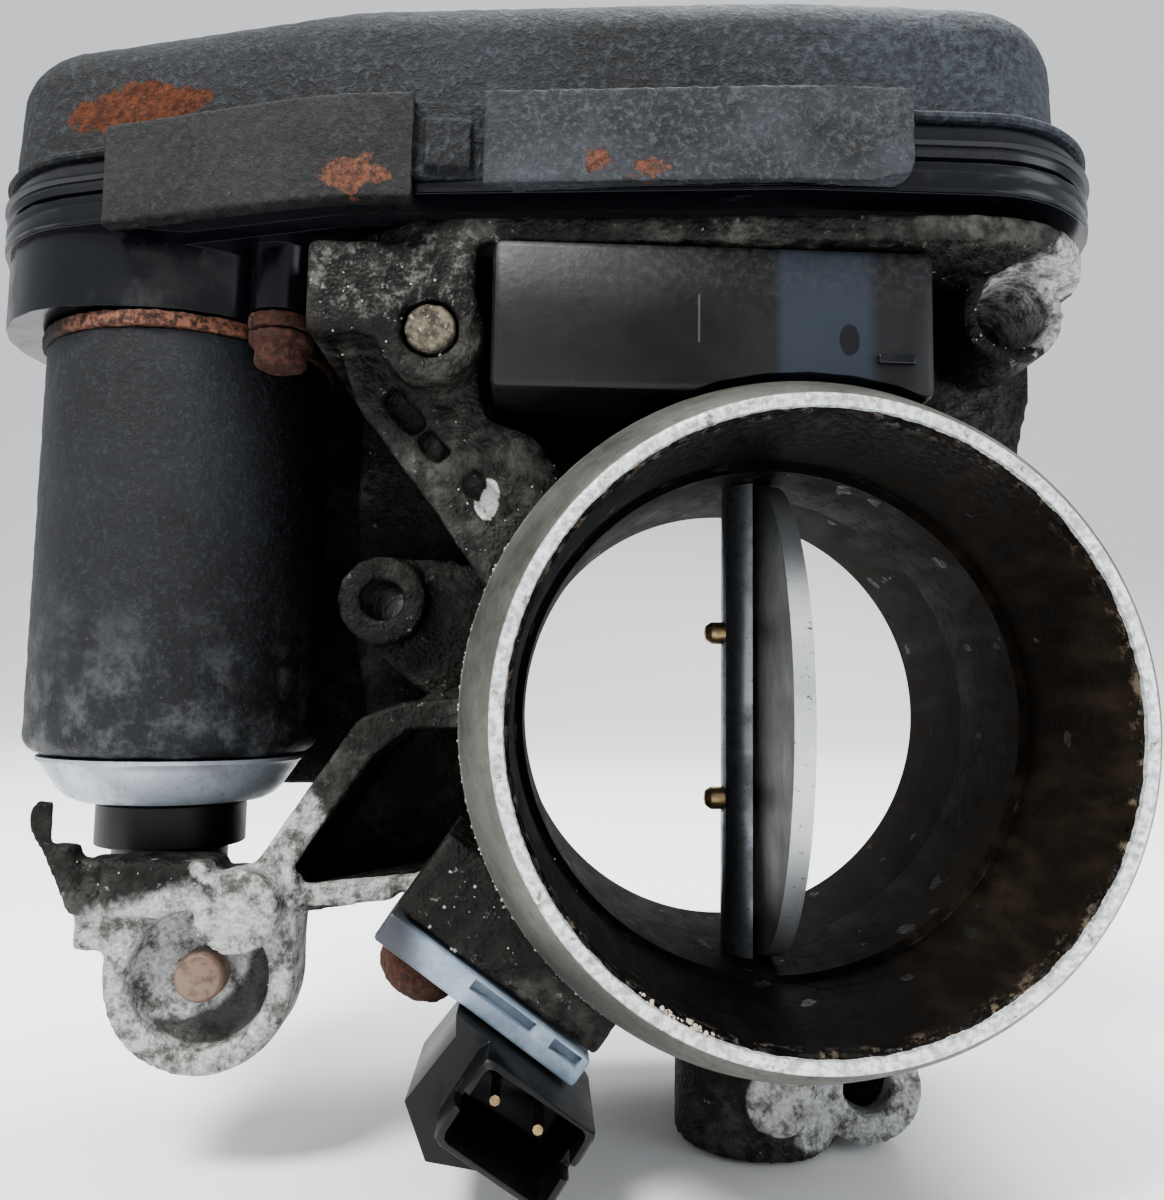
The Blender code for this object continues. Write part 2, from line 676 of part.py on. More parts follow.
def gear_cover():
    """The pressed cover: a flange over the tray's rim and a domed top with a rounded shoulder."""
    shoulder = 7 * MM
    levels = [(0, COVER_LOW), (0.5 * MM, COVER_HIGH - shoulder)]
    inner = [(1.8 * MM, COVER_LOW - 1 * MM), (2.0 * MM, COVER_HIGH - shoulder)]
    for turn in (0.25, 0.5, 0.75, 1.0):
        angle = turn * math.pi / 2
        drop = shoulder * (1 - math.sin(angle))
        run = shoulder * (1 - math.cos(angle))
        levels.append((0.5 * MM + run, COVER_HIGH - drop))
        inner.append((2.0 * MM + run * 0.7, COVER_HIGH - 1.5 * MM - drop * 0.7))
    flange = plate([hull(OUTLINE)], COVER_LOW, COVER_STEP)
    cover = cut(join(stacked(DOME, levels), flange), stacked(DOME, inner))
    piece("gear_cover", cover, COATED)


def clip(name, front, start, end):
    """A steel strip that grips cover, gasket and tray between two X positions, on the front or the rear."""
    low = TRAY_LOW - 1.3 * MM
    high = COVER_STEP + 1.3 * MM
    strip = plate([hull(OUTLINE, -1.8 * MM)], low, high)
    core = plate([hull(OUTLINE, -0.7 * MM)], TRAY_LOW - GAP, COVER_STEP + GAP)
    middle = plate([hull(OUTLINE, 0.7 * MM)], low - 1 * MM, high + 1 * MM)
    strip = cut(strip, core, middle)
    sides = (-90 * MM, -38 * MM) if front else (-20 * MM, 30 * MM)
    window = block((start, sides[0], low - 2 * MM), (end, sides[1], high + 2 * MM))
    piece(name, common(strip, window), STRAP)


def cover_clips():
    clip("cover_clip_front_right", True, -37.2 * MM, 10.6 * MM)
    clip("cover_clip_front_left", True, -83.5 * MM, -45.2 * MM)
    clip("cover_clip_rear_right", False, -30.0 * MM, 16.0 * MM)
    clip("cover_clip_rear_left", False, -80.0 * MM, -46.0 * MM)


def spring_case():
    """The box under the deck that covers the return spring, open at its top and rear."""
    low = Vector((-36.0 * MM, -59.0 * MM, 36.6 * MM))
    high = Vector((14.8 * MM, -17.0 * MM, DECK_LOW - GAP))
    case = block(low, high, 1.2 * MM)
    wall = Vector((2.2 * MM, 2.4 * MM, 2.0 * MM))
    room = block(low + wall, Vector((high.x - 1.5 * MM, 0, high.z + 2 * MM)))
    web = upright([(-60 * MM, 60 * MM), (-60 * MM, 30 * MM), (40 * MM, 30 * MM), (40 * MM, 60 * MM)],
                  -22.4 * MM, -10 * MM)
    boss = bar((*SHAFT.xy, 30 * MM), (*SHAFT.xy, 41.4 * MM), 10.9 * MM, sides=32)
    bead = bar((0, -70 * MM, 0), (0, 0, 0), BEAD_RADIUS + 0.8 * MM, sides=48)
    piece("spring_case", cut(case, room, web, boss, bead), MATT)


# The plate and its shaft


def plate_frame():
    """The matrix that turns the closed plate's frame to where the plate rests."""
    return Matrix.Translation(SHAFT) @ Matrix.Rotation(-PLATE_SWING, 4, "Z")


def throttle_shaft():
    x, y, _ = SHAFT
    bottom = Vector((x, y, SHAFT_BOTTOM))
    rod = bar(bottom, (x, y, SHAFT_TOP), SHAFT_RADIUS, sides=32)
    half = Vector((6 * MM, 12 * MM, BORE_RADIUS))
    centre = Vector((half.x - SHAFT_FLAT, 0, 0))
    flat = block(centre - half, centre + half)
    flat.matrix_world = plate_frame()
    rod = cut(rod, bake(flat))
    holes = []
    for height in (SCREW_HEIGHT, -SCREW_HEIGHT):
        place = plate_frame() @ Matrix.Translation((0, 0, height))
        reach = Vector((7 * MM, 0, 0))
        holes.append(bar(place @ -reach, place @ reach, 1.9 * MM, sides=16))
    piece("throttle_shaft", cut(rod, *holes), STEEL, SHAFT)


def throttle_plate():
    """The disc that closes the bore, with an edge that follows the bore when it is shut."""
    low = -SHAFT_FLAT + GAP
    start = plate_frame() @ Vector((low, 0, 0))
    end = plate_frame() @ Vector((low + PLATE_THICKNESS, 0, 0))
    disc = bar(start, end, PLATE_RADIUS, sides=64)
    holes = []
    for height in (SCREW_HEIGHT, -SCREW_HEIGHT):
        place = plate_frame() @ Matrix.Translation((0, 0, height))
        reach = Vector((7 * MM, 0, 0))
        holes.append(bar(place @ -reach, place @ reach, 1.9 * MM, sides=16))
    piece("throttle_plate", cut(disc, *holes), STEEL, SHAFT)


def plate_screws():
    """The two screws through plate and shaft: heads on the plate, staked tails on the shaft's far side."""
    head_face = -SHAFT_FLAT + PLATE_THICKNESS + 2 * GAP
    for name, height in (("plate_screw_upper", SCREW_HEIGHT), ("plate_screw_lower", -SCREW_HEIGHT)):
        profile = [
            (0.0, head_face + 1.8 * MM),
            (1.8 * MM, head_face + 1.6 * MM),
            (3.2 * MM, head_face + 0.7 * MM),
            (3.3 * MM, head_face),
            (1.55 * MM, head_face),
            (1.55 * MM, -SHAFT_RADIUS - 1.4 * MM),
            (1.0 * MM, -SHAFT_RADIUS - 2.2 * MM),
            (0.0, -SHAFT_RADIUS - 2.4 * MM),
        ]
        place = plate_frame() @ Matrix.Translation((0, 0, height)) @ AXES["X"]
        piece(name, turned(profile, place, 20), BRASS, SHAFT)


def bearings():
    x, y, _ = SHAFT
    fit = SHAFT_RADIUS + 0.3 * MM
    upper = ring(SHAFT, "Z", 8.0 * MM, fit, 34.8 * MM, 40.6 * MM)
    piece("upper_bearing", upper, DARK_STEEL)
    lower = ring(SHAFT, "Z", 8.0 * MM, fit, -45.6 * MM, -38.8 * MM)
    piece("lower_bearing", lower, DARK_STEEL)
    seal = ring(SHAFT, "Z", 8.0 * MM, fit, 40.9 * MM, 43.0 * MM)
    piece("shaft_seal", seal, RUBBER)
    plug = [(0.0, -50.2 * MM), (8.0 * MM, -50.2 * MM), (8.0 * MM, -54.4 * MM), (0.0, -54.8 * MM)]
    piece("shaft_end_plug", turned(plug, Matrix.Translation(SHAFT), 32), STEEL)


def return_spring():
    """The torsion spring round the shaft, between the seal and the deck."""
    turns = 2.6
    low = 45.4 * MM
    pitch = 2.6 * MM
    steps = 14
    points = []
    for i in range(int(turns * steps) + 1):
        angle = math.tau * i / steps
        height = low + pitch * i / steps
        points.append((10.6 * MM * math.cos(angle), 10.6 * MM * math.sin(angle), height))
    last = Vector(points[-1])
    outward = Vector((last.x, last.y, 0)).normalized()
    points.append(last + outward * 3 * MM)
    points.insert(0, (12.2 * MM, -1.5 * MM, low))
    curve = bpy.data.curves.new("return_spring", "CURVE")
    curve.dimensions = "3D"
    curve.bevel_depth = 0.85 * MM
    curve.bevel_resolution = 1
    curve.use_fill_caps = True
    spline = curve.splines.new("POLY")
    spline.points.add(len(points) - 1)
    for point, place in zip(spline.points, points):
        point.co = (*place, 1.0)
    obj = link("return_spring", curve, CUTTERS)
    obj.location = SHAFT
    bpy.context.view_layer.update()
    piece("return_spring", bake(obj), DARK_STEEL, SHAFT)


# The gears


def sector_middle():
    """The angle of the sector's toothed rim at rest, half its travel ahead of the gear line."""
    return GEAR_LINE + SECTOR_TRAVEL / 2


def sector_gear():
    """The toothed sector on the shaft, with its hub."""
    count = 2 * round((SECTOR_TRAVEL / 2 + math.radians(18.0)) / (math.tau / SECTOR_TEETH)) + 1
    shift = round((sector_middle() - GEAR_LINE) / (math.tau / SECTOR_TEETH))
    phase = GEAR_LINE + shift * math.tau / SECTOR_TEETH
    rim = gear_outline(SHAFT, SECTOR_TEETH, phase, count)
    outline = rim + [(SHAFT.x + 7 * MM * math.cos(a), SHAFT.y + 7 * MM * math.sin(a))
                     for a in [phase + math.radians(d) for d in (100, 140, 180, 220, 260)]]
    web = plate([outline], SECTOR_LOW, SECTOR_HIGH)
    hub = bar((*SHAFT.xy, SECTOR_LOW - 0.2 * MM), (*SHAFT.xy, HUB_HIGH), 8.2 * MM, sides=32)
    windows = [bar((*SHAFT.xy, 55 * MM), (*SHAFT.xy, 70 * MM), SHAFT_RADIUS + GAP, sides=32)]
    for turn in (-32, 0, 32):
        angle = phase + math.radians(turn)
        centre = SHAFT + Vector((math.cos(angle), math.sin(angle), 0)) * 16.5 * MM
        windows.append(bar((*centre.xy, 60 * MM), (*centre.xy, 70 * MM), 3.4 * MM, sides=16))
    piece("sector_gear", cut(join(web, hub), *windows), NYLON, SHAFT)


def sensor_magnet():
    low = HUB_HIGH + GAP
    piece("sensor_magnet", ring(SHAFT, "Z", 7.6 * MM, 3.0 * MM, low, low + 4.4 * MM, 24), MAGNET, SHAFT)


def intermediate_gear():
    """The double gear: its small wheel drives the sector and its big wheel meets the pinion."""
    gap_phase = GEAR_LINE + math.pi + math.pi / SMALL_TEETH
    small = gear_outline(INTERMEDIATE, SMALL_TEETH, gap_phase)
    big = gear_outline(INTERMEDIATE, BIG_TEETH, GEAR_LINE)
    hole = circle(*INTERMEDIATE.xy, 2.55 * MM)
    low = SECTOR_LOW - 0.2 * MM
    wheel = plate([small, hole], low, BIG_LOW + 0.4 * MM)
    wheel = join(wheel, plate([big, hole], BIG_LOW, BIG_HIGH))
    windows = []
    for i in range(5):
        angle = math.tau * i / 5
        centre = INTERMEDIATE + Vector((math.cos(angle), math.sin(angle), 0)) * 12.5 * MM
        windows.append(bar((*centre.xy, 58 * MM), (*centre.xy, 72 * MM), 4.4 * MM, sides=12))
    piece("intermediate_gear", cut(wheel, *windows), NYLON, INTERMEDIATE)


def intermediate_pin():
    profile = [
        (0.0, BIG_HIGH + 1.6 * MM),
        (1.9 * MM, BIG_HIGH + 1.6 * MM),
        (2.25 * MM, BIG_HIGH + 1.2 * MM),
        (2.25 * MM, 49.9 * MM),
        (0.0, 49.9 * MM),
    ]
    place = Matrix.Translation((*INTERMEDIATE.xy, 0))
    piece("intermediate_pin", turned(profile, place, 20), STEEL)


def motor_pinion():
    phase = GEAR_LINE + math.pi + math.pi / PINION_TEETH
    outline = gear_outline(MOTOR, PINION_TEETH, phase)
    wheel = plate([outline, circle(*MOTOR.xy, 1.8 * MM, 16)], 62.6 * MM, BIG_HIGH)
    piece("motor_pinion", wheel, BRASS, (*MOTOR.xy, 0))


# The motor


def motor_at(height):
    return Vector((*MOTOR.xy, height))


def motor_can():
    """The drawn cup round the magnets, open at its top."""
    wall = 1.4 * MM
    low = MOTOR_LOW
    profile = [
        (MOTOR_RADIUS, MOTOR_HIGH),
        (MOTOR_RADIUS, low + 1.2 * MM),
        (MOTOR_RADIUS - 1.2 * MM, low),
        (5.5 * MM, low),
        (5.5 * MM, low + wall),
        (MOTOR_RADIUS - wall, low + wall),
        (MOTOR_RADIUS - wall, MOTOR_HIGH),
    ]
    piece("motor_can", turned(profile, motor_place(), 40, True), CAN)


def motor_place():
    return Matrix.Translation((*MOTOR.xy, 0))


def motor_flange():
    """The steel ring between can and collar, with an ear for each screw."""
    low = MOTOR_HIGH + GAP
    high = COLLAR_LOW - GAP
    flange = bar(motor_at(low), motor_at(high), COLLAR_RADIUS, sides=40)
    for side in (1, -1):
        foot = MOTOR + MOTOR_EAR * side
        flange = join(flange, bar((*foot.xy, low), (*foot.xy, high), 4.1 * MM, sides=20))
        flange = cut(flange, bar((*foot.xy, 40 * MM), (*foot.xy, 60 * MM), 1.9 * MM, sides=12))
    bore = bar(motor_at(40 * MM), motor_at(60 * MM), 8.0 * MM, sides=32)
    piece("motor_flange", cut(flange, bore), RUST)


def motor_ends():
    cap = [
        (CAP_RADIUS, MOTOR_LOW - GAP),
        (CAP_RADIUS, -10.6 * MM),
        (CAP_RADIUS - 1.6 * MM, -12.2 * MM),
        (NOSE_RADIUS - 1 * MM, -12.2 * MM),
        (NOSE_RADIUS - 1 * MM, MOTOR_LOW - GAP),
    ]
    piece("motor_end_cap", turned(cap, motor_place(), 40, True), MACHINED)
    nose = [
        (0.0, -10.4 * MM),
        (NOSE_RADIUS - 1.4 * MM, -10.4 * MM),
        (NOSE_RADIUS - 1.4 * MM, -12.6 * MM),
        (NOSE_RADIUS, -12.6 * MM),
        (NOSE_RADIUS, -18.0 * MM),
        (NOSE_RADIUS - 2.2 * MM, -18.6 * MM),
        (NOSE_RADIUS - 2.2 * MM, -21.4 * MM),
        (0.0, -21.4 * MM),
    ]
    piece("motor_nose", turned(nose, motor_place(), 40), MATT)


def motor_screws():
    for name, side in (("motor_screw_front", 1), ("motor_screw_rear", -1)):
        foot = MOTOR + MOTOR_EAR * side
        top = MOTOR_HIGH
        profile = [
            (0.0, top + 9 * MM),
            (1.55 * MM, top + 9 * MM),
            (1.55 * MM, top),
            (4.1 * MM, top),
            (4.1 * MM, top - 1.2 * MM),
            (3.3 * MM, top - 1.5 * MM),
            (3.3 * MM, top - 3.6 * MM),
            (2.6 * MM, top - 4.2 * MM),
            (0.0, top - 4.2 * MM),
        ]
        piece(name, turned(profile, Matrix.Translation((*foot.xy, 0)), 12), RUST)


def motor_inside():
    """Magnets, armature, commutator, brushes and bearings."""
    outer = MOTOR_RADIUS - 1.4 * MM - GAP
    for name, start in (("motor_magnet_left", 105), ("motor_magnet_right", -75)):
        start_angle = math.radians(start)
        end_angle = start_angle + math.radians(150)
        rim = arc(MOTOR.xy, outer, start_angle, end_angle)
        rim += reversed(arc(MOTOR.xy, outer - 4 * MM, start_angle, end_angle))
        piece(name, plate([rim], 0.0, 32 * MM), MAGNET)
    shaft = bar(motor_at(-9.6 * MM), motor_at(BIG_HIGH - 0.5 * MM), 1.5 * MM, sides=16)
    piece("motor_shaft", shaft, STEEL, (*MOTOR.xy, 0))
    core = circle(*MOTOR.xy, 12.4 * MM, 30)
    stack = plate([core, circle(*MOTOR.xy, 1.8 * MM, 16)], 2 * MM, 30 * MM)
    slots = []
    for i in range(5):
        angle = math.tau * i / 5
        out = Vector((math.cos(angle), math.sin(angle), 0))
        start = MOTOR + out * 11.4 * MM
        slots.append(bar((*start.xy, 0), (*start.xy, 32 * MM), 2.2 * MM, sides=10))
    piece("armature", cut(stack, *slots), DARK_STEEL, (*MOTOR.xy, 0))
    commutator = ring(MOTOR, "Z", 4.6 * MM, 1.8 * MM, 32.5 * MM, 38.5 * MM, 20)
    piece("commutator", commutator, COPPER, (*MOTOR.xy, 0))
    card = ring(MOTOR, "Z", outer, 6.2 * MM, 40.0 * MM, 41.6 * MM, 32)
    brushes = []
    for side in (1, -1):
        low = MOTOR + Vector((side * 7.6 * MM - 2.4 * MM, -1.6 * MM, 34.5 * MM))
        high = MOTOR + Vector((side * 7.6 * MM + 2.4 * MM, 1.6 * MM, 40.5 * MM))
        brushes.append(block(low, high))
    piece("brush_card", join(card, *brushes), MATT)
    top = ring(MOTOR, "Z", 7.6 * MM, 1.8 * MM, MOTOR_HIGH + GAP, COLLAR_LOW - GAP, 24)
    piece("motor_bearing_top", top, BRASS)
    bottom = ring(MOTOR, "Z", 5.1 * MM, 1.8 * MM, -9.4 * MM, MOTOR_LOW + 1.4 * MM, 24)
    piece("motor_bearing_bottom", bottom, BRASS)


# The air sensor


def sensor_turn():
    return Matrix.Rotation(SENSOR_SLOPE, 4, "Y")


def air_sensor():
    """The sensor under the bore: its flange, screw and probe, and a socket that faces the inlet."""
    thickness = SENSOR_THICKNESS
    centre = sensor_line(thickness / 2 + GAP)
    half = Vector((13.8 * MM, 8.6 * MM, thickness / 2))
    flange = block(centre - half, centre + half, 0.5 * MM, sensor_turn())
    grooves = []
    for reach, length in ((2.3 * MM, 4.2 * MM), (10.9 * MM, 1.9 * MM)):
        spot = sensor_line(thickness / 2 - 0.5 * MM, reach) - Vector((0, half.y, 0))
        slot = Vector((length, 1.6 * MM, 0.65 * MM))
        grooves.append(block(spot - slot, spot + slot, turn=sensor_turn()))
    bore = bar(sensor_line(-2 * MM, PROBE), sensor_line(6 * MM, PROBE), 5.6 * MM)
    screw_low = sensor_line(-2 * MM, SENSOR_SCREW)
    screw_hole = bar(screw_low, sensor_line(6 * MM, SENSOR_SCREW), 1.9 * MM, sides=12)
    piece("sensor_flange", cut(flange, *grooves, bore, screw_hole), PALE)
    probe = bar(sensor_line(3.0 * MM, PROBE), sensor_line(-9.0 * MM, PROBE), 3.6 * MM, sides=20)
    collar = bar(sensor_line(3.6 * MM, PROBE), sensor_line(-1.2 * MM, PROBE), 5.0 * MM, sides=24)
    piece("sensor_probe", join(collar, probe), MATT)
    seal = turned([(5.2 * MM, 1.8 * MM), (5.2 * MM, 0.0), (3.95 * MM, 0.0), (3.95 * MM, 1.8 * MM)],
                  Matrix.Translation(sensor_line(-1.6 * MM, PROBE)) @ sensor_turn(), 24, True)
    piece("sensor_seal", seal, RUBBER)
    profile = [
        (0.0, 7.3 * MM),
        (1.55 * MM, 7.3 * MM),
        (1.55 * MM, -4.2 * MM),
        (5.3 * MM, -4.2 * MM),
        (5.2 * MM, -5.6 * MM),
        (4.3 * MM, -7.4 * MM),
        (2.4 * MM, -8.7 * MM),
        (0.0, -9.0 * MM),
    ]
    place = Matrix.Translation(sensor_line(0, SENSOR_SCREW)) @ sensor_turn()
    piece("sensor_screw", turned(profile, place, 20), RUST)
    body = upright(
        [
            (-38.1 * MM, -31.0 * MM),
            (-38.1 * MM, -34.3 * MM),
            (-43.4 * MM, -41.0 * MM),
            (-41.0 * MM, -47.2 * MM),
            (-33.0 * MM, -48.6 * MM),
            (-25.0 * MM, -44.0 * MM),
            (-24.6 * MM, -34.0 * MM),
        ],
        -56 * MM,
        -38 * MM,
    )
    turn = Matrix.Rotation(SOCKET_TURN, 4, "Y")
    half = Vector((7.3 * MM, 9.0 * MM, 5.4 * MM))
    shell = block(SOCKET - half, SOCKET + half, 1.6 * MM, turn)
    inner = Vector((6.2 * MM, 8.0 * MM, 4.3 * MM))
    mouth = SOCKET - Vector((0, 2.6 * MM, 0))
    room = block(mouth - inner, mouth + inner, 0.8 * MM, turn)
    body = cut(join(body, shell), room)
    keyways = []
    for side in (-1, 1):
        spot = SOCKET + turn @ Vector((side * half.x, 0, 0)) - Vector((0, half.y, 0))
        key = Vector((1.6 * MM, 4.0 * MM, 0.8 * MM))
        keyways.append(block(spot - key, spot + key, turn=turn))
    body = cut(body, *keyways, flange_room(thickness))
    for side in (-2.8 * MM, 2.8 * MM):
        spot = SOCKET + turn @ Vector((side, 0, 0))
        body = cut(body, bar(spot, spot + Vector((0, 8 * MM, 0)), 0.9 * MM, sides=8))
    piece("sensor_body", body, MATT)
    for name, side in (("sensor_pin_left", -2.8 * MM), ("sensor_pin_right", 2.8 * MM)):
        spot = SOCKET + turn @ Vector((side, 0, 0))
        pin = bar(spot - Vector((0, 3.4 * MM, 0)), spot + Vector((0, 7.6 * MM, 0)), 0.6 * MM, sides=8)
        piece(name, pin, BRASS)


def flange_space():
    """A cutter that keeps the casting clear of the sensor's flange."""
    half = Vector((14.4 * MM, 9.2 * MM, 3 * MM))
    centre = sensor_line(3 * MM)
    return block(centre - half, centre + half, turn=sensor_turn())


def flange_room(thickness):
    """A cutter that keeps the sensor's body clear of its flange."""
    half = Vector((40 * MM, 40 * MM, 20 * MM))
    centre = sensor_line(thickness + 2 * GAP) + Vector(
        (math.sin(SENSOR_SLOPE), 0, math.cos(SENSOR_SLOPE))
    ) * half.z
    return block(centre - half, centre + half, turn=sensor_turn())


# Fasteners and seals of the casting


def small_parts():
    bolt = [
        (0.0, 0.6 * MM),
        (2.7 * MM, 0.6 * MM),
        (3.0 * MM, 0.2 * MM),
        (3.0 * MM, -14 * MM),
        (0.0, -14 * MM),
    ]
    front = Matrix.Rotation(math.pi / 2, 4, "X")
    piece("housing_bolt", turned(bolt, Matrix.Translation(BOSS_BOLT) @ front, 24), DARK_STEEL)
    rivet = [
        (0.0, 0.0),
        (2.6 * MM, -0.3 * MM),
        (3.0 * MM, -0.9 * MM),
        (3.0 * MM, -3.2 * MM),
        (1.55 * MM, -3.2 * MM),
        (1.55 * MM, -8.4 * MM),
        (0.0, -8.4 * MM),
    ]
    piece("bracket_rivet", turned(rivet, Matrix.Translation(BRACKET) @ front, 24), COPPER)
    seal = ring((0, 0, 0), "Y", 39.2 * MM, 36.6 * MM, -1.9 * MM, 0.5 * MM, 48)
    piece("manifold_seal", seal, RUBBER)
    board = plate([circle(*SHAFT.xy, 14 * MM)], 74 * MM, 75.6 * MM)
    stem = bar((*SHAFT.xy, 75 * MM), (*SHAFT.xy, COVER_HIGH - 1.5 * MM - GAP), 5 * MM, sides=20)
    piece("position_sensor", join(board, stem), MATT)


throttle_housing()
gear_tray()
cover_gasket()
gear_cover()
cover_clips()
spring_case()
throttle_shaft()
throttle_plate()
plate_screws()
bearings()
return_spring()
sector_gear()
sensor_magnet()
intermediate_gear()
intermediate_pin()
motor_pinion()
motor_can()
motor_flange()
motor_ends()
motor_screws()
motor_inside()
air_sensor()
small_parts()
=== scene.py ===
"""Looks of the throttle body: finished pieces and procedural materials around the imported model."""

import json
import math

import bmesh
import bpy
import numpy as np
from mathutils import Matrix, Vector, noise

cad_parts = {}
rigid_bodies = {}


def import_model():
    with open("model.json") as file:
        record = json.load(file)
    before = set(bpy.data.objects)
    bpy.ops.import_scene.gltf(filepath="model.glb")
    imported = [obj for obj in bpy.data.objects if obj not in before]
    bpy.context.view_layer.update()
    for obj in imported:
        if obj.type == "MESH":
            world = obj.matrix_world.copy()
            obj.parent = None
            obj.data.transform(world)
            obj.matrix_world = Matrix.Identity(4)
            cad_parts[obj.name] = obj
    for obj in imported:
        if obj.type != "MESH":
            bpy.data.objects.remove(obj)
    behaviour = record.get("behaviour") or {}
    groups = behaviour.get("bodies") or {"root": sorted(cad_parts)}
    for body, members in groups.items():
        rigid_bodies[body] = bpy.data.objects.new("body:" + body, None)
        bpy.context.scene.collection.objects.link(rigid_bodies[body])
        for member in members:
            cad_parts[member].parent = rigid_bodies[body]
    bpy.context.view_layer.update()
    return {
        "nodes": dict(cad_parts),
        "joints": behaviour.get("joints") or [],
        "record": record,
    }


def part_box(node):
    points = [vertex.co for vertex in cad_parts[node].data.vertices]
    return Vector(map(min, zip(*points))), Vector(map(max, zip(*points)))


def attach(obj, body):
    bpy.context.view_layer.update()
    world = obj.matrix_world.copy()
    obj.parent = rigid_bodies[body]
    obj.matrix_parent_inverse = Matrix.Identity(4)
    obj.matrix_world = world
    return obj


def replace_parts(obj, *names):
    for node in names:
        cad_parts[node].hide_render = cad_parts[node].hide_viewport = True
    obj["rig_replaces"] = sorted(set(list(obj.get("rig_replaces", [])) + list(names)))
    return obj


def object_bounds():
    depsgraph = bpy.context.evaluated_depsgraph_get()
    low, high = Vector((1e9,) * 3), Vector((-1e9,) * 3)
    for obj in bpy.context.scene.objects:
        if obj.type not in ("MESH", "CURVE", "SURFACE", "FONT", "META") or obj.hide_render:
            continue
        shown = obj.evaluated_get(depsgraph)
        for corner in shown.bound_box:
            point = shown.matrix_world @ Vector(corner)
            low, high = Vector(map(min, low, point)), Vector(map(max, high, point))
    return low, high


MM = 0.001
SEED = 11

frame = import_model()
BODY_OF = {node: body for body, nodes in frame["record"]["behaviour"]["bodies"].items() for node in nodes}
SLOT_OF = {row["node"]: row["material_slot"] for row in frame["record"]["subparts"]}

# Places read from the frame
COVER_LOW, COVER_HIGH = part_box("gear_cover")
CAN_LOW, CAN_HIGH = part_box("motor_can")
RIVET = sum(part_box("bracket_rivet"), Vector()) / 2
MOUTH_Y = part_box("throttle_housing")[0].y
CASE_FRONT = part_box("spring_case")[0].y
SHAFT_XY, GEAR_XY, MOTOR_XY = (
    Vector((joint["pos_m"][0], joint["pos_m"][1])) for joint in frame["joints"]
)

# The drive's outline in plan, as circles (x, y, radius) with straight tangents between them
END_SHIFT = 4.5 * MM
ARC_STEP = math.radians(4.0)
LINE_STEP = 1.2 * MM
OUTLINE = (
    (20.0 * MM, -44.0 * MM, 18.5 * MM),
    (20.0 * MM, -13.0 * MM, 17.0 * MM),
    (*SHAFT_XY, 33.4 * MM),
    (*GEAR_XY, 29.7 * MM),
    (MOTOR_XY.x - END_SHIFT, MOTOR_XY.y, 20.2 * MM),
    (*GEAR_XY, 29.7 * MM),
    (*SHAFT_XY, 33.4 * MM),
)

# The cover's dome: the same outline less a ledge, which is narrower at the motor's end
LEDGE = 3.4 * MM
MOTOR_END = 4
DOME = tuple(
    (x - (LEDGE - 0.3 * MM) * (i == MOTOR_END), y, r - LEDGE) for i, (x, y, r) in enumerate(OUTLINE)
)

# Where the motor bracket's round recess has its floor
RECESS_Y = -41.5 * MM

# The camera's place and aim, at the photograph's viewing angle
CAMERA_PLACE = Vector((-29.58, -168.09, 2.81)) * MM
CAMERA_AIM = Vector((0.03909, 0.99497, 0.09223))
CAMERA_UP = Vector((-0.01881, -0.09155, 0.99562))
CAMERA_LENS = 30.0


def mesh_of(shape, name):
    """A bmesh's shape as a new mesh; the bmesh is freed."""
    mesh = bpy.data.meshes.new(name)
    shape.to_mesh(mesh)
    shape.free()
    return mesh


# Stage


def make_camera():
    data = bpy.data.cameras.new("camera")
    data.lens = CAMERA_LENS
    data.sensor_width = 36.0
    data.clip_start = 0.005
    data.clip_end = 20.0
    camera = bpy.data.objects.new("camera", data)
    bpy.context.scene.collection.objects.link(camera)
    back = -CAMERA_AIM.normalized()
    right = CAMERA_UP.cross(back).normalized()
    up = back.cross(right)
    turn = Matrix((right, up, back)).transposed().to_4x4()
    camera.matrix_world = Matrix.Translation(CAMERA_PLACE) @ turn
    bpy.context.scene.camera = camera


def area_light(name, place, target, size, power, colour=(1, 1, 1)):
    data = bpy.data.lights.new(name, "AREA")
    data.shape = "DISK"
    data.size = size
    data.energy = power
    data.color = colour
    light = bpy.data.objects.new(name, data)
    bpy.context.scene.collection.objects.link(light)
    light.location = place
    light.rotation_euler = (Vector(target) - Vector(place)).to_track_quat("-Z", "Y").to_euler()


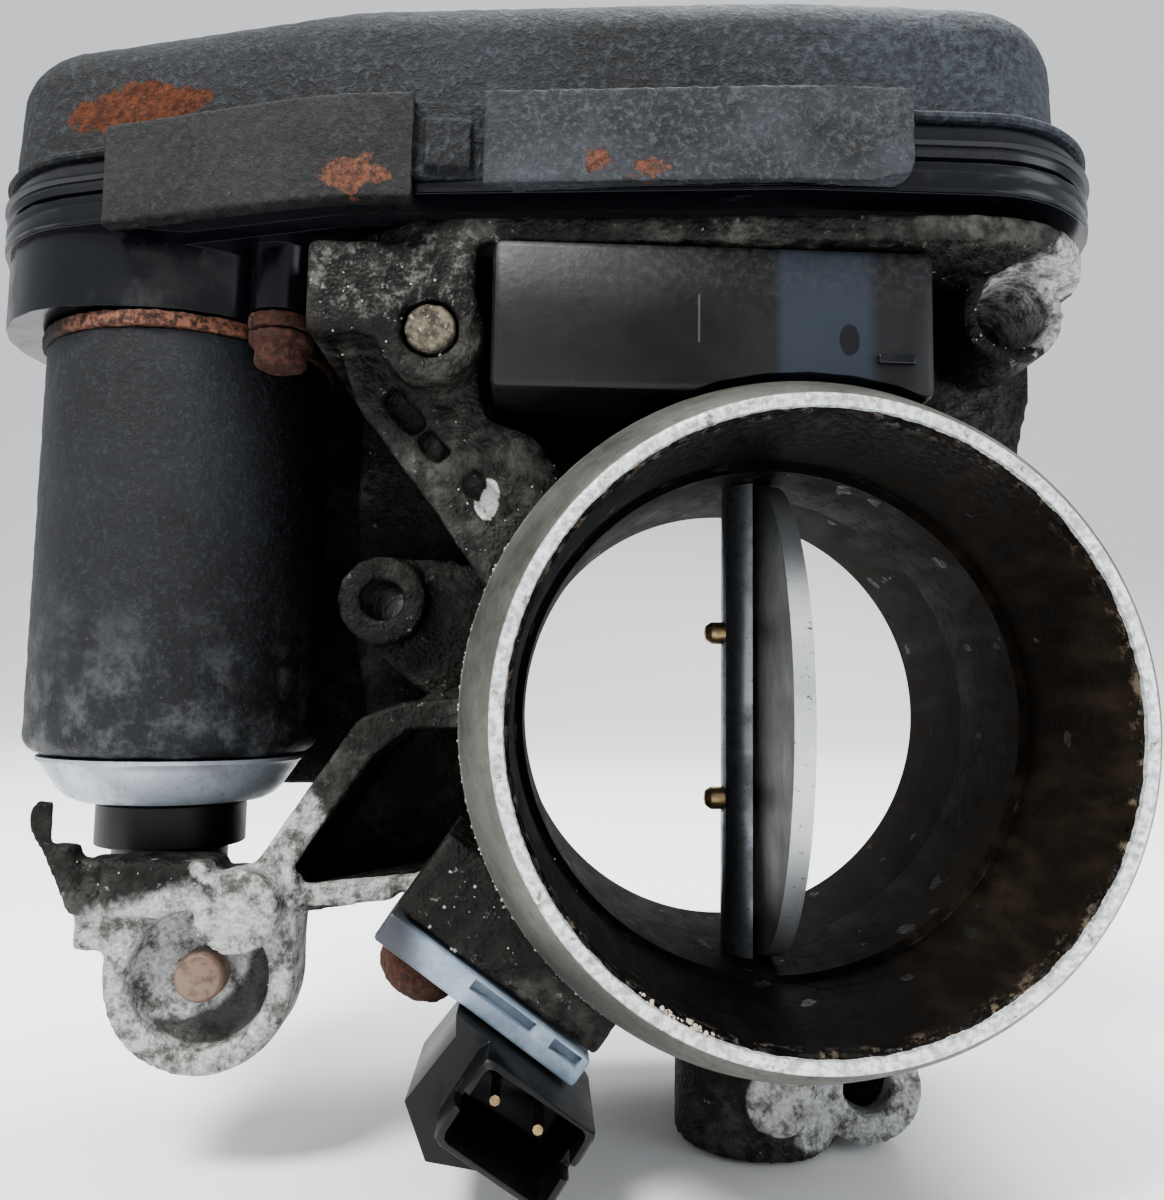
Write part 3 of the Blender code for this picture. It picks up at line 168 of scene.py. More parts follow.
def make_stage():
    """A white floor that bends up behind the object, with the sky and four lights."""
    shape = bmesh.new()
    half, bend, wall, steps = 4.0, 3.0, 5.0, 24
    path = [(-half, 0.0), (half - bend, 0.0)]
    for k in range(1, steps + 1):
        angle = math.pi / 2 * k / steps
        path.append((half - bend + bend * math.sin(angle), bend - bend * math.cos(angle)))
    path.append((half, wall))
    rows = [[shape.verts.new((x, y, z)) for x in (-half, half)] for y, z in path]
    for near, far in zip(rows, rows[1:]):
        shape.faces.new((near[0], near[1], far[1], far[0]))
    mesh = mesh_of(shape, "floor")
    mesh.shade_smooth()
    floor = bpy.data.objects.new("floor", mesh)
    bpy.context.scene.collection.objects.link(floor)
    floor.location.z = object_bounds()[0][2] - 0.5 * MM
    material, shader = new_material("floor_white")
    shader.inputs["Base Color"].default_value = (0.93, 0.93, 0.93, 1)
    shader.inputs["Roughness"].default_value = 0.9
    mesh.materials.append(material)
    world = bpy.data.worlds.new("studio")
    world.use_nodes = True
    background = world.node_tree.nodes["Background"]
    background.inputs["Color"].default_value = (0.95, 0.97, 1.0, 1)
    background.inputs["Strength"].default_value = 0.75
    bpy.context.scene.world = world
    bpy.context.scene.view_settings.look = "AgX - Medium High Contrast"
    centre = (-0.02, -0.03, 0.01)
    area_light("key", (-0.40, -0.50, 0.80), centre, 0.32, 13.0, (1.0, 0.98, 0.95))
    area_light("fill", (0.7, -0.5, 0.15), centre, 0.5, 2.0, (0.90, 0.95, 1.0))
    area_light("top", (0.15, 0.1, 0.9), centre, 0.6, 8.0, (0.93, 0.97, 1.0))
    area_light("rear", (0.7, 1.7, 1.7), centre, 1.0, 16.0)


# Materials


def new_material(name):
    made = bpy.data.materials.new(name)
    made.use_nodes = True
    return made, made.node_tree.nodes["Principled BSDF"]


class Finish:
    """One material's node tree, with short calls for the nodes used most."""

    def __init__(self, name, metallic=0.0, roughness=0.5, specular=0.5):
        self.material, self.shader = new_material(name)
        self.tree = self.material.node_tree
        self.shader.inputs["Metallic"].default_value = metallic
        self.shader.inputs["Roughness"].default_value = roughness
        self.shader.inputs["Specular IOR Level"].default_value = specular
        self.place = self.add("ShaderNodeTexCoord").outputs["Object"]

    def add(self, kind, **settings):
        """A new node with its settings."""
        node = self.tree.nodes.new(kind)
        for key, value in settings.items():
            setattr(node, key, value)
        return node

    def put(self, socket, value):
        """Links an output to a socket, or sets the socket's value."""
        if isinstance(value, bpy.types.NodeSocket):
            self.tree.links.new(value, socket)
        elif isinstance(value, tuple) and len(value) == 3 and socket.type == "RGBA":
            socket.default_value = (*value, 1.0)
        else:
            socket.default_value = value

    def stretched(self, scale):
        """The place scaled on each axis, for noise drawn out along one of them."""
        node = self.add("ShaderNodeMapping", vector_type="POINT")
        self.put(node.inputs["Vector"], self.place)
        node.inputs["Scale"].default_value = scale
        return node.outputs["Vector"]

    def noise(self, size, detail=3.0, roughness=0.55, place=None):
        """Noise whose blobs are about a size in metres."""
        node = self.add("ShaderNodeTexNoise")
        self.put(node.inputs["Vector"], place or self.place)
        node.inputs["Scale"].default_value = 0.5 / size
        node.inputs["Detail"].default_value = detail
        node.inputs["Roughness"].default_value = roughness
        return node.outputs["Fac"]

    def cells(self, size):
        """Distance from the middle of cells about a size in metres."""
        node = self.add("ShaderNodeTexVoronoi")
        self.put(node.inputs["Vector"], self.place)
        node.inputs["Scale"].default_value = 1.0 / size
        return node.outputs["Distance"]

    def steps(self, value, low, high, to_low=0.0, to_high=1.0):
        """A value taken smoothly from one range to another, and held at its ends."""
        node = self.add("ShaderNodeMapRange", clamp=True, interpolation_type="SMOOTHSTEP")
        self.put(node.inputs["Value"], value)
        for key, number in (("From Min", low), ("From Max", high), ("To Min", to_low), ("To Max", to_high)):
            node.inputs[key].default_value = number
        return node.outputs["Result"]

    def maths(self, operation, first, second=0.0):
        node = self.add("ShaderNodeMath", operation=operation)
        self.put(node.inputs[0], first)
        self.put(node.inputs[1], second)
        return node.outputs[0]

    def times(self, first, second):
        return self.maths("MULTIPLY", first, second)

    def mix(self, share, first, second):
        """The first colour, with a share of the second in its place."""
        node = self.add("ShaderNodeMix", data_type="RGBA")
        self.put(node.inputs["Factor"], share)
        self.put(node.inputs["A"], first)
        self.put(node.inputs["B"], second)
        return node.outputs["Result"]

    def part(self, axis):
        """The place along one axis, in metres."""
        node = self.add("ShaderNodeSeparateXYZ")
        self.put(node.inputs[0], self.place)
        return node.outputs[axis]

    def near(self, centre, reach, ragged=0.0, grain=1.5 * MM):
        """1 within an ellipsoid about a centre and 0 outside, with a ragged edge."""
        node = self.add("ShaderNodeMapping", vector_type="TEXTURE")
        self.put(node.inputs["Vector"], self.place)
        node.inputs["Location"].default_value = centre
        node.inputs["Scale"].default_value = reach
        length = self.add("ShaderNodeVectorMath", operation="LENGTH")
        self.put(length.inputs[0], node.outputs["Vector"])
        away = length.outputs["Value"]
        if ragged:
            wander = self.maths("SUBTRACT", self.noise(grain, 6.0, 0.7), 0.5)
            away = self.maths("ADD", away, self.times(wander, ragged))
        return self.steps(away, 1.05, 0.92)

    def colour(self, value):
        self.put(self.shader.inputs["Base Color"], value)

    def rough(self, value):
        self.put(self.shader.inputs["Roughness"], value)

    def bump(self, *layers):
        """Layers of (height, depth in metres), summed into one normal."""
        normal = None
        for height, depth in layers:
            node = self.add("ShaderNodeBump")
            node.inputs["Distance"].default_value = depth
            self.put(node.inputs["Height"], height)
            if normal is not None:
                self.put(node.inputs["Normal"], normal)
            normal = node.outputs["Normal"]
        self.put(self.shader.inputs["Normal"], normal)


def cast_finish():
    """Dirty as-cast aluminium: oil-stained brown-black, pale where it is rubbed or powdery, with painted
    shade in a crescent on the floor of the bracket's round recess.
    """
    f = Finish("cast_aluminium", metallic=0.1, roughness=0.65, specular=0.25)
    grime = f.noise(7 * MM, 5.0, 0.62)
    fine = f.noise(0.9 * MM, 4.0, 0.6)
    grit = f.cells(0.55 * MM)
    dark = f.mix(f.steps(fine, 0.35, 0.65), (0.0028, 0.0026, 0.0022), (0.014, 0.0128, 0.0108))
    mid = f.mix(f.steps(fine, 0.35, 0.65), (0.012, 0.0115, 0.010), (0.065, 0.063, 0.057))
    body = f.mix(f.steps(grime, 0.44, 0.68), dark, mid)
    pale = f.mix(fine, (0.20, 0.20, 0.19), (0.42, 0.42, 0.40))
    scabs = f.steps(f.noise(1.0 * MM, 7.0, 0.78), 0.60, 0.70)
    body = f.mix(f.times(scabs, 0.75), body, pale)
    bare = f.steps(f.noise(1.2 * MM, 8.0, 0.74), 0.36, 0.58)
    clean = f.mix(bare, (0.085, 0.082, 0.074), (0.47, 0.48, 0.475))
    specks = f.steps(f.noise(0.4 * MM, 4.0, 0.7), 0.60, 0.40)
    clean = f.mix(specks, f.mix(0.3, clean, (0.06, 0.058, 0.05)), clean)
    worn = None
    for centre, reach, ragged, grain in (
        ((-70, -44, -34), (18, 8, 15), 0.5, 4),
        ((-62, -46, -15), (9, 3, 12), 0.8, 3),
        ((-50, -45, -21), (15, 3, 2.4), 0.5, 3),
        ((31, -48, 53), (6.5, 12, 7), 0.8, 3),
        ((13, -38, -48), (11, 6, 9), 0.7, 3),
        ((1, -42, -47), (5.2, 3.5, 5.2), 0.3, 2),
    ):
        spot = f.near(tuple(c * MM for c in centre), tuple(c * MM for c in reach), ragged, grain * MM)
        worn = spot if worn is None else f.maths("MAXIMUM", worn, spot)
    body = f.mix(f.times(worn, 0.92), body, clean)
    rubbed = f.near((-47 * MM, -57 * MM, 51 * MM), (11 * MM, 2.5 * MM, 6 * MM), 0.8, 3 * MM)
    scuffs = f.steps(f.noise(0.9 * MM, 8.0, 0.78), 0.50, 0.62)
    body = f.mix(f.times(f.times(rubbed, scuffs), 0.4), body, (0.22, 0.22, 0.21))
    oblong = f.near((-36.4 * MM, -50 * MM, 25.6 * MM), (1.6 * MM, 3 * MM, 2.6 * MM), 0.5, 1 * MM)
    body = f.mix(oblong, body, (0.50, 0.50, 0.49))
    # Painted shade: a dark crescent on the floor of the bracket's round recess, which is the recess less an
    # island set off its centre.
    floor = Vector((RIVET.x, RECESS_Y, RIVET.z))
    recess = f.near(tuple(floor), (8.8 * MM, 3 * MM, 8.8 * MM))
    island = f.near(tuple(floor + Vector((-3.4, 0, 3.6)) * MM), (9.0 * MM, 9 * MM, 9.0 * MM), 0.3, 2 * MM)
    crescent = f.times(recess, f.maths("SUBTRACT", 1.0, island))
    recess_shade_colour = f.mix(fine, (0.004, 0.004, 0.0035), (0.05, 0.05, 0.045))
    body = f.mix(f.times(crescent, 0.9), body, recess_shade_colour)
    f.colour(body)
    f.rough(f.steps(fine, 0.2, 0.8, 0.44, 0.80))
    f.bump((f.noise(2.0 * MM, 4.0, 0.65), 0.8 * MM), (fine, 0.45 * MM), (grit, 0.12 * MM))
    return f.material


def machined_finish():
    """Turned aluminium gone grey, with fine tool lines round the bore's axis."""
    f = Finish("turned_aluminium", metallic=0.55, roughness=0.5)
    lines = f.noise(0.10 * MM, 2.0, 0.5, f.stretched((0.02, 1.0, 0.02)))
    blotch = f.noise(5 * MM, 5.0, 0.62)
    stain = f.noise(0.9 * MM, 5.0, 0.65)
    grey = f.mix(f.steps(blotch, 0.3, 0.7), (0.090, 0.089, 0.080), (0.165, 0.163, 0.148))
    grey = f.mix(f.times(f.steps(stain, 0.52, 0.72), 0.55), grey, (0.05, 0.047, 0.042))
    bead = f.steps(f.part("Y"), MOUTH_Y + 7.4 * MM, MOUTH_Y + 8.4 * MM)
    bead = f.times(bead, f.steps(f.part("X"), 10 * MM, -20 * MM, 0.15, 1.0))
    chalk = f.steps(f.noise(0.8 * MM, 6.0, 0.7), 0.40, 0.56)
    grey = f.mix(f.times(f.times(bead, chalk), 0.8), grey, (0.42, 0.42, 0.40))
    f.colour(grey)
    f.rough(f.steps(stain, 0.3, 0.7, 0.40, 0.62))
    f.bump((lines, 0.02 * MM), (stain, 0.04 * MM))
    return f.material


def lip_finish():
    """The bright bare edge of the mouth, with chalky corrosion."""
    f = Finish("bright_lip", metallic=0.45, roughness=0.42)
    patches = f.noise(1.1 * MM, 7.0, 0.72)
    fine = f.noise(0.35 * MM, 4.0, 0.6)
    bright = f.mix(f.steps(fine, 0.35, 0.65), (0.34, 0.35, 0.355), (0.70, 0.72, 0.72))
    f.colour(f.mix(f.steps(patches, 0.56, 0.66), bright, (0.17, 0.15, 0.12)))
    f.rough(f.steps(patches, 0.4, 0.7, 0.36, 0.65))
    f.bump((patches, 0.12 * MM), (fine, 0.06 * MM))
    return f.material


def soot_finish():
    """The bore's inside: oil-blackened, sooty turned metal streaked along the bore, with painted light
    making it browner and lighter on its right.
    """
    f = Finish("sooty_bore", metallic=0.0, roughness=0.7, specular=0.08)
    along = f.noise(1.6 * MM, 5.0, 0.6, f.stretched((1.0, 0.3, 1.0)))
    blotch = f.noise(8 * MM, 5.0, 0.6)
    fine = f.noise(0.45 * MM, 5.0, 0.7)
    # Painted light: the wall is made browner and lighter towards its right.
    brown = f.steps(f.part("X"), -4 * MM, 30 * MM)
    low = f.mix(brown, (0.0016, 0.0016, 0.0018), (0.0090, 0.0066, 0.0044))
    high = f.mix(brown, (0.0080, 0.0080, 0.0085), (0.030, 0.0225, 0.0155))
    soot_and_light = f.mix(f.steps(along, 0.40, 0.78), low, high)
    soot_and_light = f.mix(f.times(f.steps(blotch, 0.45, 0.75), 0.6), soot_and_light, low)
    soot_and_light = f.mix(f.times(f.steps(fine, 0.64, 0.76), 0.2), soot_and_light, (0.05, 0.042, 0.032))
    top = f.steps(f.part("Z"), 20 * MM, 31 * MM)
    silver = f.times(top, f.steps(f.part("Y"), MOUTH_Y + 20 * MM, MOUTH_Y + 2 * MM))
    silver = f.times(f.times(silver, f.steps(fine, 0.35, 0.7)), 0.4)
    soot_and_light = f.mix(silver, soot_and_light, (0.06, 0.063, 0.068))
    mouth = f.steps(f.part("Y"), MOUTH_Y + 3.2 * MM, MOUTH_Y + 0.4 * MM)
    crust = f.steps(f.noise(0.9 * MM, 6.0, 0.7), 0.52, 0.62)
    soot_and_light = f.mix(f.times(f.times(mouth, crust), 0.7), soot_and_light, (0.16, 0.13, 0.095))
    f.colour(soot_and_light)
    f.rough(f.steps(along, 0.3, 0.8, 0.62, 0.82))
    f.bump((fine, 0.06 * MM), (crust, 0.05 * MM))
    return f.material


def coated_finish():
    """The cover's rough blue-black paint, sparkling with grit, and its rust patches."""
    f = Finish("rough_black_paint", metallic=0.0, roughness=0.55, specular=0.32)
    grain = f.noise(0.5 * MM, 5.0, 0.72)
    fine = f.noise(0.2 * MM, 3.0, 0.7)
    cloud = f.noise(13 * MM, 5.0, 0.6)
    base = f.mix(f.steps(cloud, 0.38, 0.66), (0.0035, 0.0040, 0.0048), (0.013, 0.016, 0.021))
    base = f.mix(f.times(f.steps(grain, 0.48, 0.68), 0.7), base, (0.046, 0.056, 0.071))
    spark = f.steps(f.noise(0.22 * MM, 5.0, 0.8), 0.66, 0.74)
    base = f.mix(f.times(spark, 0.75), base, (0.26, 0.30, 0.34))
    sheen = f.times(f.steps(f.part("X"), -20 * MM, 26 * MM), f.steps(grain, 0.36, 0.60))
    base = f.mix(f.times(sheen, 0.45), base, (0.055, 0.070, 0.092))
    patches = f.near((-81.0 * MM, -43.5 * MM, 75.0 * MM), (10.6 * MM, 9 * MM, 3.7 * MM), 1.5, 2.6 * MM)
    dot = f.near((-15 * MM, -60 * MM, 71.0 * MM), (1.6 * MM, 3 * MM, 0.8 * MM), 1.4, 1.2 * MM)
    patches = f.maths("MAXIMUM", patches, dot)
    speck = f.noise(0.55 * MM, 6.0, 0.75)
    rust = f.mix(f.steps(speck, 0.3, 0.7), (0.028, 0.008, 0.004), (0.135, 0.044, 0.018))
    rust = f.mix(f.steps(fine, 0.62, 0.74), rust, (0.30, 0.15, 0.09))
    dirt = f.steps(f.noise(0.45 * MM, 6.0, 0.8), 0.665, 0.71)
    base = f.mix(f.times(dirt, 0.6), base, (0.20, 0.15, 0.11))
    f.colour(f.mix(patches, base, rust))
    f.rough(f.mix(patches, (0.56, 0.56, 0.56), (0.92, 0.92, 0.92)))
    f.bump((f.noise(2.0 * MM, 4.0), 0.35 * MM), (grain, 0.55 * MM), (fine, 0.22 * MM))
    return f.material


def strap_finish():
    """The clips: the same paint, rubbed to a dusty grey, with a few rust spots."""
    f = Finish("worn_strap_paint", metallic=0.0, roughness=0.55, specular=0.32)
    grain = f.noise(0.38 * MM, 5.0, 0.75)
    fine = f.noise(0.2 * MM, 3.0, 0.7)
    cloud = f.noise(7 * MM, 5.0, 0.6)
    left = f.steps(f.part("X"), -30 * MM, -48 * MM)
    dark = f.mix(left, (0.0075, 0.0085, 0.010), (0.0035, 0.0038, 0.0038))
    light = f.mix(left, (0.036, 0.041, 0.049), (0.0125, 0.0135, 0.0140))
    base = f.mix(f.steps(cloud, 0.35, 0.65), dark, light)
    dusty = f.mix(left, (0.085, 0.093, 0.105), (0.042, 0.044, 0.045))
    base = f.mix(f.times(f.steps(grain, 0.46, 0.66), 0.7), base, dusty)
    spark = f.steps(f.noise(0.22 * MM, 5.0, 0.8), 0.65, 0.73)
    base = f.mix(f.times(spark, 0.7), base, (0.36, 0.37, 0.38))
    tan = f.steps(f.noise(1.8 * MM, 7.0, 0.75), 0.64, 0.70)
    base = f.mix(f.times(tan, 0.5), base, (0.15, 0.105, 0.070))
    patch = f.near((-52.0 * MM, -58 * MM, 60.6 * MM), (4.2 * MM, 5 * MM, 1.9 * MM), 3.2, 1.3 * MM)
    first = f.near((-24.8 * MM, -63 * MM, 61.9 * MM), (1.6 * MM, 4 * MM, 1.2 * MM), 2.8, 0.8 * MM)
    second = f.near((-18.6 * MM, -64 * MM, 60.8 * MM), (2.2 * MM, 4 * MM, 1.0 * MM), 4.6, 0.7 * MM)
    speck = f.steps(f.noise(0.4 * MM, 6.0, 0.75), 0.34, 0.66)
    rust = f.mix(speck, (0.022, 0.007, 0.004), (0.17, 0.062, 0.030))
    f.colour(f.mix(f.maths("MAXIMUM", patch, f.maths("MAXIMUM", first, second)), base, rust))
    f.rough(f.steps(grain, 0.3, 0.8, 0.42, 0.72))
    f.bump((grain, 0.45 * MM), (fine, 0.20 * MM))
    return f.material


def gloss_finish(name="black_gloss", dirt=0.35):
    """Glossy black moulding with dust in patches."""
    f = Finish(name, roughness=0.2, specular=0.38)
    dust = f.steps(f.noise(6 * MM, 6.0, 0.65), 0.50, 0.74)
    grains = f.noise(0.5 * MM, 4.0, 0.7)
    tint = f.mix(grains, (0.020, 0.021, 0.022), (0.085, 0.082, 0.076))
    amount = f.times(dust, dirt)
    f.colour(f.mix(amount, (0.0030, 0.0038, 0.0062), tint))
    f.rough(f.steps(f.maths("ADD", amount, f.times(grains, 0.1)), 0.0, 0.5, 0.22, 0.5))
    f.bump((grains, 0.012 * MM), (f.noise(3 * MM, 2.0), 0.03 * MM))
    return f.material


def plastic_finish():
    """Matt black plastic, greyed with dust, with a painted highlight in a paler blue band down its front,
    painted shade in a dimple, and light scratches.
    """
    f = Finish("dusty_black_plastic", roughness=0.42, specular=0.35)
    grains = f.noise(0.5 * MM, 6.0, 0.72)
    cloud = f.noise(9 * MM, 5.0, 0.6)
    base = f.mix(f.steps(cloud, 0.35, 0.7), (0.0022, 0.0024, 0.0026), (0.0075, 0.0085, 0.0100))
    # Painted highlight: a paler blue band down the front.
    from_left = f.steps(f.part("X"), -4.2 * MM, -2.6 * MM)
    band = f.times(from_left, f.steps(f.part("X"), 8.6 * MM, 6.2 * MM))
    band = f.times(band, f.steps(f.part("Y"), -56 * MM, -58 * MM))
    base = f.mix(f.times(band, 0.75), base, (0.020, 0.028, 0.042))
    # Painted shade: a darker spot in the dimple.
    dimple = f.near((4.7 * MM, -59 * MM, 43.2 * MM), (1.2 * MM, 2 * MM, 1.9 * MM), 0.5, 1.5 * MM)
    base = f.mix(dimple, base, (0.0015, 0.0020, 0.0035))
    dusty = f.times(f.steps(f.part("Z"), 44 * MM, 54 * MM), f.steps(grains, 0.42, 0.66))
    base = f.mix(f.times(dusty, 0.5), base, (0.050, 0.050, 0.047))
    base = f.mix(f.times(f.steps(grains, 0.60, 0.76), 0.35), base, (0.060, 0.060, 0.056))
    f.colour(base)
    f.rough(f.steps(cloud, 0.3, 0.7, 0.34, 0.52))
    f.bump((grains, 0.04 * MM), (f.noise(2.5 * MM, 3.0), 0.05 * MM))
    return f.material


def can_finish():
    """The motor's blue-black coating, flecked with pale specks, and paler on its lower part with painted
    light and dust.
    """
    f = Finish("speckled_black_coating", roughness=0.5, specular=0.32)
    grains = f.noise(0.36 * MM, 5.0, 0.75)
    cloud = f.noise(11 * MM, 4.0, 0.6)
    base = f.mix(f.steps(cloud, 0.35, 0.7), (0.0030, 0.0034, 0.0042), (0.0085, 0.0105, 0.0145))
    base = f.mix(f.times(f.steps(grains, 0.5, 0.68), 0.7), base, (0.030, 0.036, 0.047))
    fleck = f.steps(f.noise(0.28 * MM, 5.0, 0.78), 0.665, 0.73)
    base = f.mix(f.times(fleck, 0.75), base, (0.24, 0.25, 0.26))
    # Painted light and dust: the lower part of the can is made paler.
    dusty = f.steps(f.part("Z"), 20 * MM, -6 * MM)
    light_and_dust_film = f.times(f.steps(f.noise(2.4 * MM, 7.0, 0.7), 0.44, 0.68), dusty)
    base = f.mix(f.times(light_and_dust_film, 0.7), base, (0.11, 0.115, 0.12))
    dirt = f.steps(f.noise(0.45 * MM, 6.0, 0.8), 0.655, 0.70)
    base = f.mix(f.times(dirt, 0.6), base, (0.16, 0.10, 0.06))
    f.colour(base)
    f.rough(f.steps(grains, 0.3, 0.8, 0.40, 0.64))
    f.bump((grains, 0.24 * MM), (f.noise(2.0 * MM, 3.0), 0.22 * MM))
    return f.material


def rust_finish():
    """Brown, flaking rust, darker towards the motor's far side."""
    f = Finish("flaking_rust", roughness=0.88)
    grains = f.noise(0.4 * MM, 6.0, 0.75)
    patches = f.noise(1.8 * MM, 6.0, 0.7)
    base = f.mix(f.steps(grains, 0.34, 0.72), (0.014, 0.005, 0.003), (0.105, 0.040, 0.023))
    base = f.mix(f.times(f.steps(patches, 0.48, 0.66), 0.7), base, (0.040, 0.014, 0.010))
    seam = f.near((-80 * MM, -46 * MM, 48.2 * MM), (14 * MM, 6 * MM, 2.5 * MM), 0.8, 3 * MM)
    seam = f.times(f.times(seam, f.steps(grains, 0.42, 0.62)), 0.6)
    base = f.mix(seam, base, (0.27, 0.125, 0.08))
    away = f.steps(f.part("X"), -86 * MM, -95 * MM)
    base = f.mix(f.times(away, 0.85), base, (0.010, 0.010, 0.011))
    f.colour(base)
    f.bump((grains, 0.22 * MM), (patches, 0.25 * MM))
    return f.material


def bolt_finish():
    """An oiled bolt end, mottled with yellow-grey corrosion."""
    f = Finish("mottled_bolt", metallic=0.3, roughness=0.6)
    mottle = f.noise(0.9 * MM, 6.0, 0.72)
    fine = f.noise(0.3 * MM, 4.0, 0.65)
    base = f.mix(f.steps(mottle, 0.38, 0.64), (0.025, 0.022, 0.016), (0.16, 0.14, 0.10))
    f.colour(f.mix(f.steps(fine, 0.58, 0.70), base, (0.36, 0.33, 0.26)))
    f.bump((mottle, 0.25 * MM), (fine, 0.08 * MM))
    return f.material


def chalk_finish(name, low, high):
    """A dull powder between two colours."""
    f = Finish(name, roughness=0.8)
    f.colour(f.mix(f.noise(0.5 * MM, 4.0, 0.6), low, high))
    f.bump((f.noise(0.2 * MM, 3.0), 0.06 * MM))
    return f.material


def steel_finish(name="plate_steel", tint=(0.30, 0.32, 0.35), spotted=0.6):
    """Ground steel with water marks and small dark pits."""
    f = Finish(name, metallic=0.9, roughness=0.34)
    lines = f.noise(0.12 * MM, 2.0, 0.5, f.stretched((1.0, 1.0, 0.05)))
    marks = f.noise(3 * MM, 6.0, 0.66)
    pits = f.steps(f.cells(1.2 * MM), 0.16, 0.10)
    dim = tuple(channel * 0.45 for channel in tint)
    base = f.mix(f.steps(marks, 0.4, 0.68), tint, dim)
    base = f.mix(f.times(pits, spotted), base, (0.025, 0.022, 0.018))
    f.colour(base)
    f.rough(f.steps(marks, 0.3, 0.75, 0.28, 0.5))
    f.bump((lines, 0.008 * MM), (marks, 0.03 * MM))
    return f.material


def disc_finish(axis):
    """The throttle plate: dull, stained faces and a bright turned edge."""
    f = Finish("throttle_disc", metallic=0.75, roughness=0.4)
    marks = f.noise(2.5 * MM, 6.0, 0.68)
    fine = f.noise(0.4 * MM, 4.0, 0.7)
    normal = f.tree.nodes["Texture Coordinate"].outputs["Normal"]
    along = f.add("ShaderNodeVectorMath", operation="DOT_PRODUCT")
    f.put(along.inputs[0], normal)
    along.inputs[1].default_value = axis
    flat = f.steps(f.maths("ABSOLUTE", along.outputs["Value"]), 0.5, 0.8)
    face = f.mix(f.steps(marks, 0.35, 0.65), (0.022, 0.022, 0.022), (0.070, 0.070, 0.068))
    edge = f.mix(f.steps(fine, 0.60, 0.70), (0.46, 0.48, 0.49), (0.09, 0.085, 0.075))
    f.colour(f.mix(flat, edge, face))
    f.rough(f.steps(marks, 0.3, 0.75, 0.34, 0.55))
    f.bump((fine, 0.03 * MM), (marks, 0.03 * MM))
    return f.material


def alloy_finish():
    """The pale, smooth alloy of the motor's end cap."""
    f = Finish("pale_alloy", metallic=0.45, roughness=0.42)
    marks = f.noise(4 * MM, 6.0, 0.62)
    fine = f.noise(0.5 * MM, 5.0, 0.7)
    base = f.mix(f.steps(marks, 0.35, 0.7), (0.46, 0.51, 0.57), (0.24, 0.255, 0.28))
    f.colour(f.mix(f.times(f.steps(fine, 0.58, 0.74), 0.55), base, (0.09, 0.085, 0.075)))
    f.rough(f.steps(marks, 0.3, 0.7, 0.32, 0.55))
    f.bump((fine, 0.05 * MM), (marks, 0.08 * MM))
    return f.material


def brass_finish(name="dull_brass", tint=(0.40, 0.29, 0.16), pitted=0.5, metallic=0.85):
    """Tarnished copper alloy with darker pits."""
    f = Finish(name, metallic=metallic, roughness=0.45)
    marks = f.noise(0.8 * MM, 5.0, 0.68)
    dim = tuple(channel * 0.4 for channel in tint)
    f.colour(f.mix(f.times(f.steps(marks, 0.45, 0.7), pitted * 2), tint, dim))
    f.rough(f.steps(marks, 0.3, 0.75, 0.32, 0.6))
    f.bump((marks, 0.06 * MM), (f.noise(0.25 * MM, 2.0), 0.03 * MM))
    return f.material


def pale_plastic_finish():
    """Pale blue-grey plastic, blackened at the end under the screw."""
    f = Finish("pale_plastic", roughness=0.4)
    marks = f.noise(2.2 * MM, 6.0, 0.68)
    fine = f.noise(0.4 * MM, 4.0, 0.65)
    base = f.mix(f.steps(marks, 0.35, 0.7), (0.17, 0.22, 0.28), (0.31, 0.37, 0.44))
    base = f.mix(f.times(f.steps(fine, 0.58, 0.76), 0.45), base, (0.05, 0.05, 0.048))
    end = f.steps(f.part("X"), -40 * MM, -45 * MM)
    f.colour(f.mix(f.times(end, 0.9), base, (0.020, 0.020, 0.022)))
    f.bump((marks, 0.06 * MM), (fine, 0.03 * MM))
    return f.material


def nylon_finish():
    """The gears' uncoloured nylon."""
    f = Finish("natural_nylon", roughness=0.45)
    f.shader.inputs["Subsurface Weight"].default_value = 0.15
    f.shader.inputs["Subsurface Radius"].default_value = (1 * MM, 0.8 * MM, 0.5 * MM)
    marks = f.noise(5 * MM, 4.0, 0.6)
    f.colour(f.mix(marks, (0.42, 0.39, 0.31), (0.62, 0.60, 0.52)))
    f.bump((f.noise(0.5 * MM, 3.0), 0.01 * MM))
    return f.material


def rubber_finish():
    """The seals' black rubber."""
    f = Finish("black_rubber", roughness=0.55)
    marks = f.noise(1.2 * MM, 5.0, 0.65)
    f.colour(f.mix(marks, (0.010, 0.010, 0.011), (0.028, 0.028, 0.029)))
    f.bump((marks, 0.03 * MM))
    return f.material


def ferrite_finish():
    """The magnets' grey ferrite."""
    f = Finish("ferrite", metallic=0.3, roughness=0.6)
    grains = f.noise(0.5 * MM, 4.0, 0.65)
    f.colour(f.mix(grains, (0.035, 0.035, 0.037), (0.10, 0.10, 0.105)))
    f.bump((grains, 0.04 * MM))
    return f.material


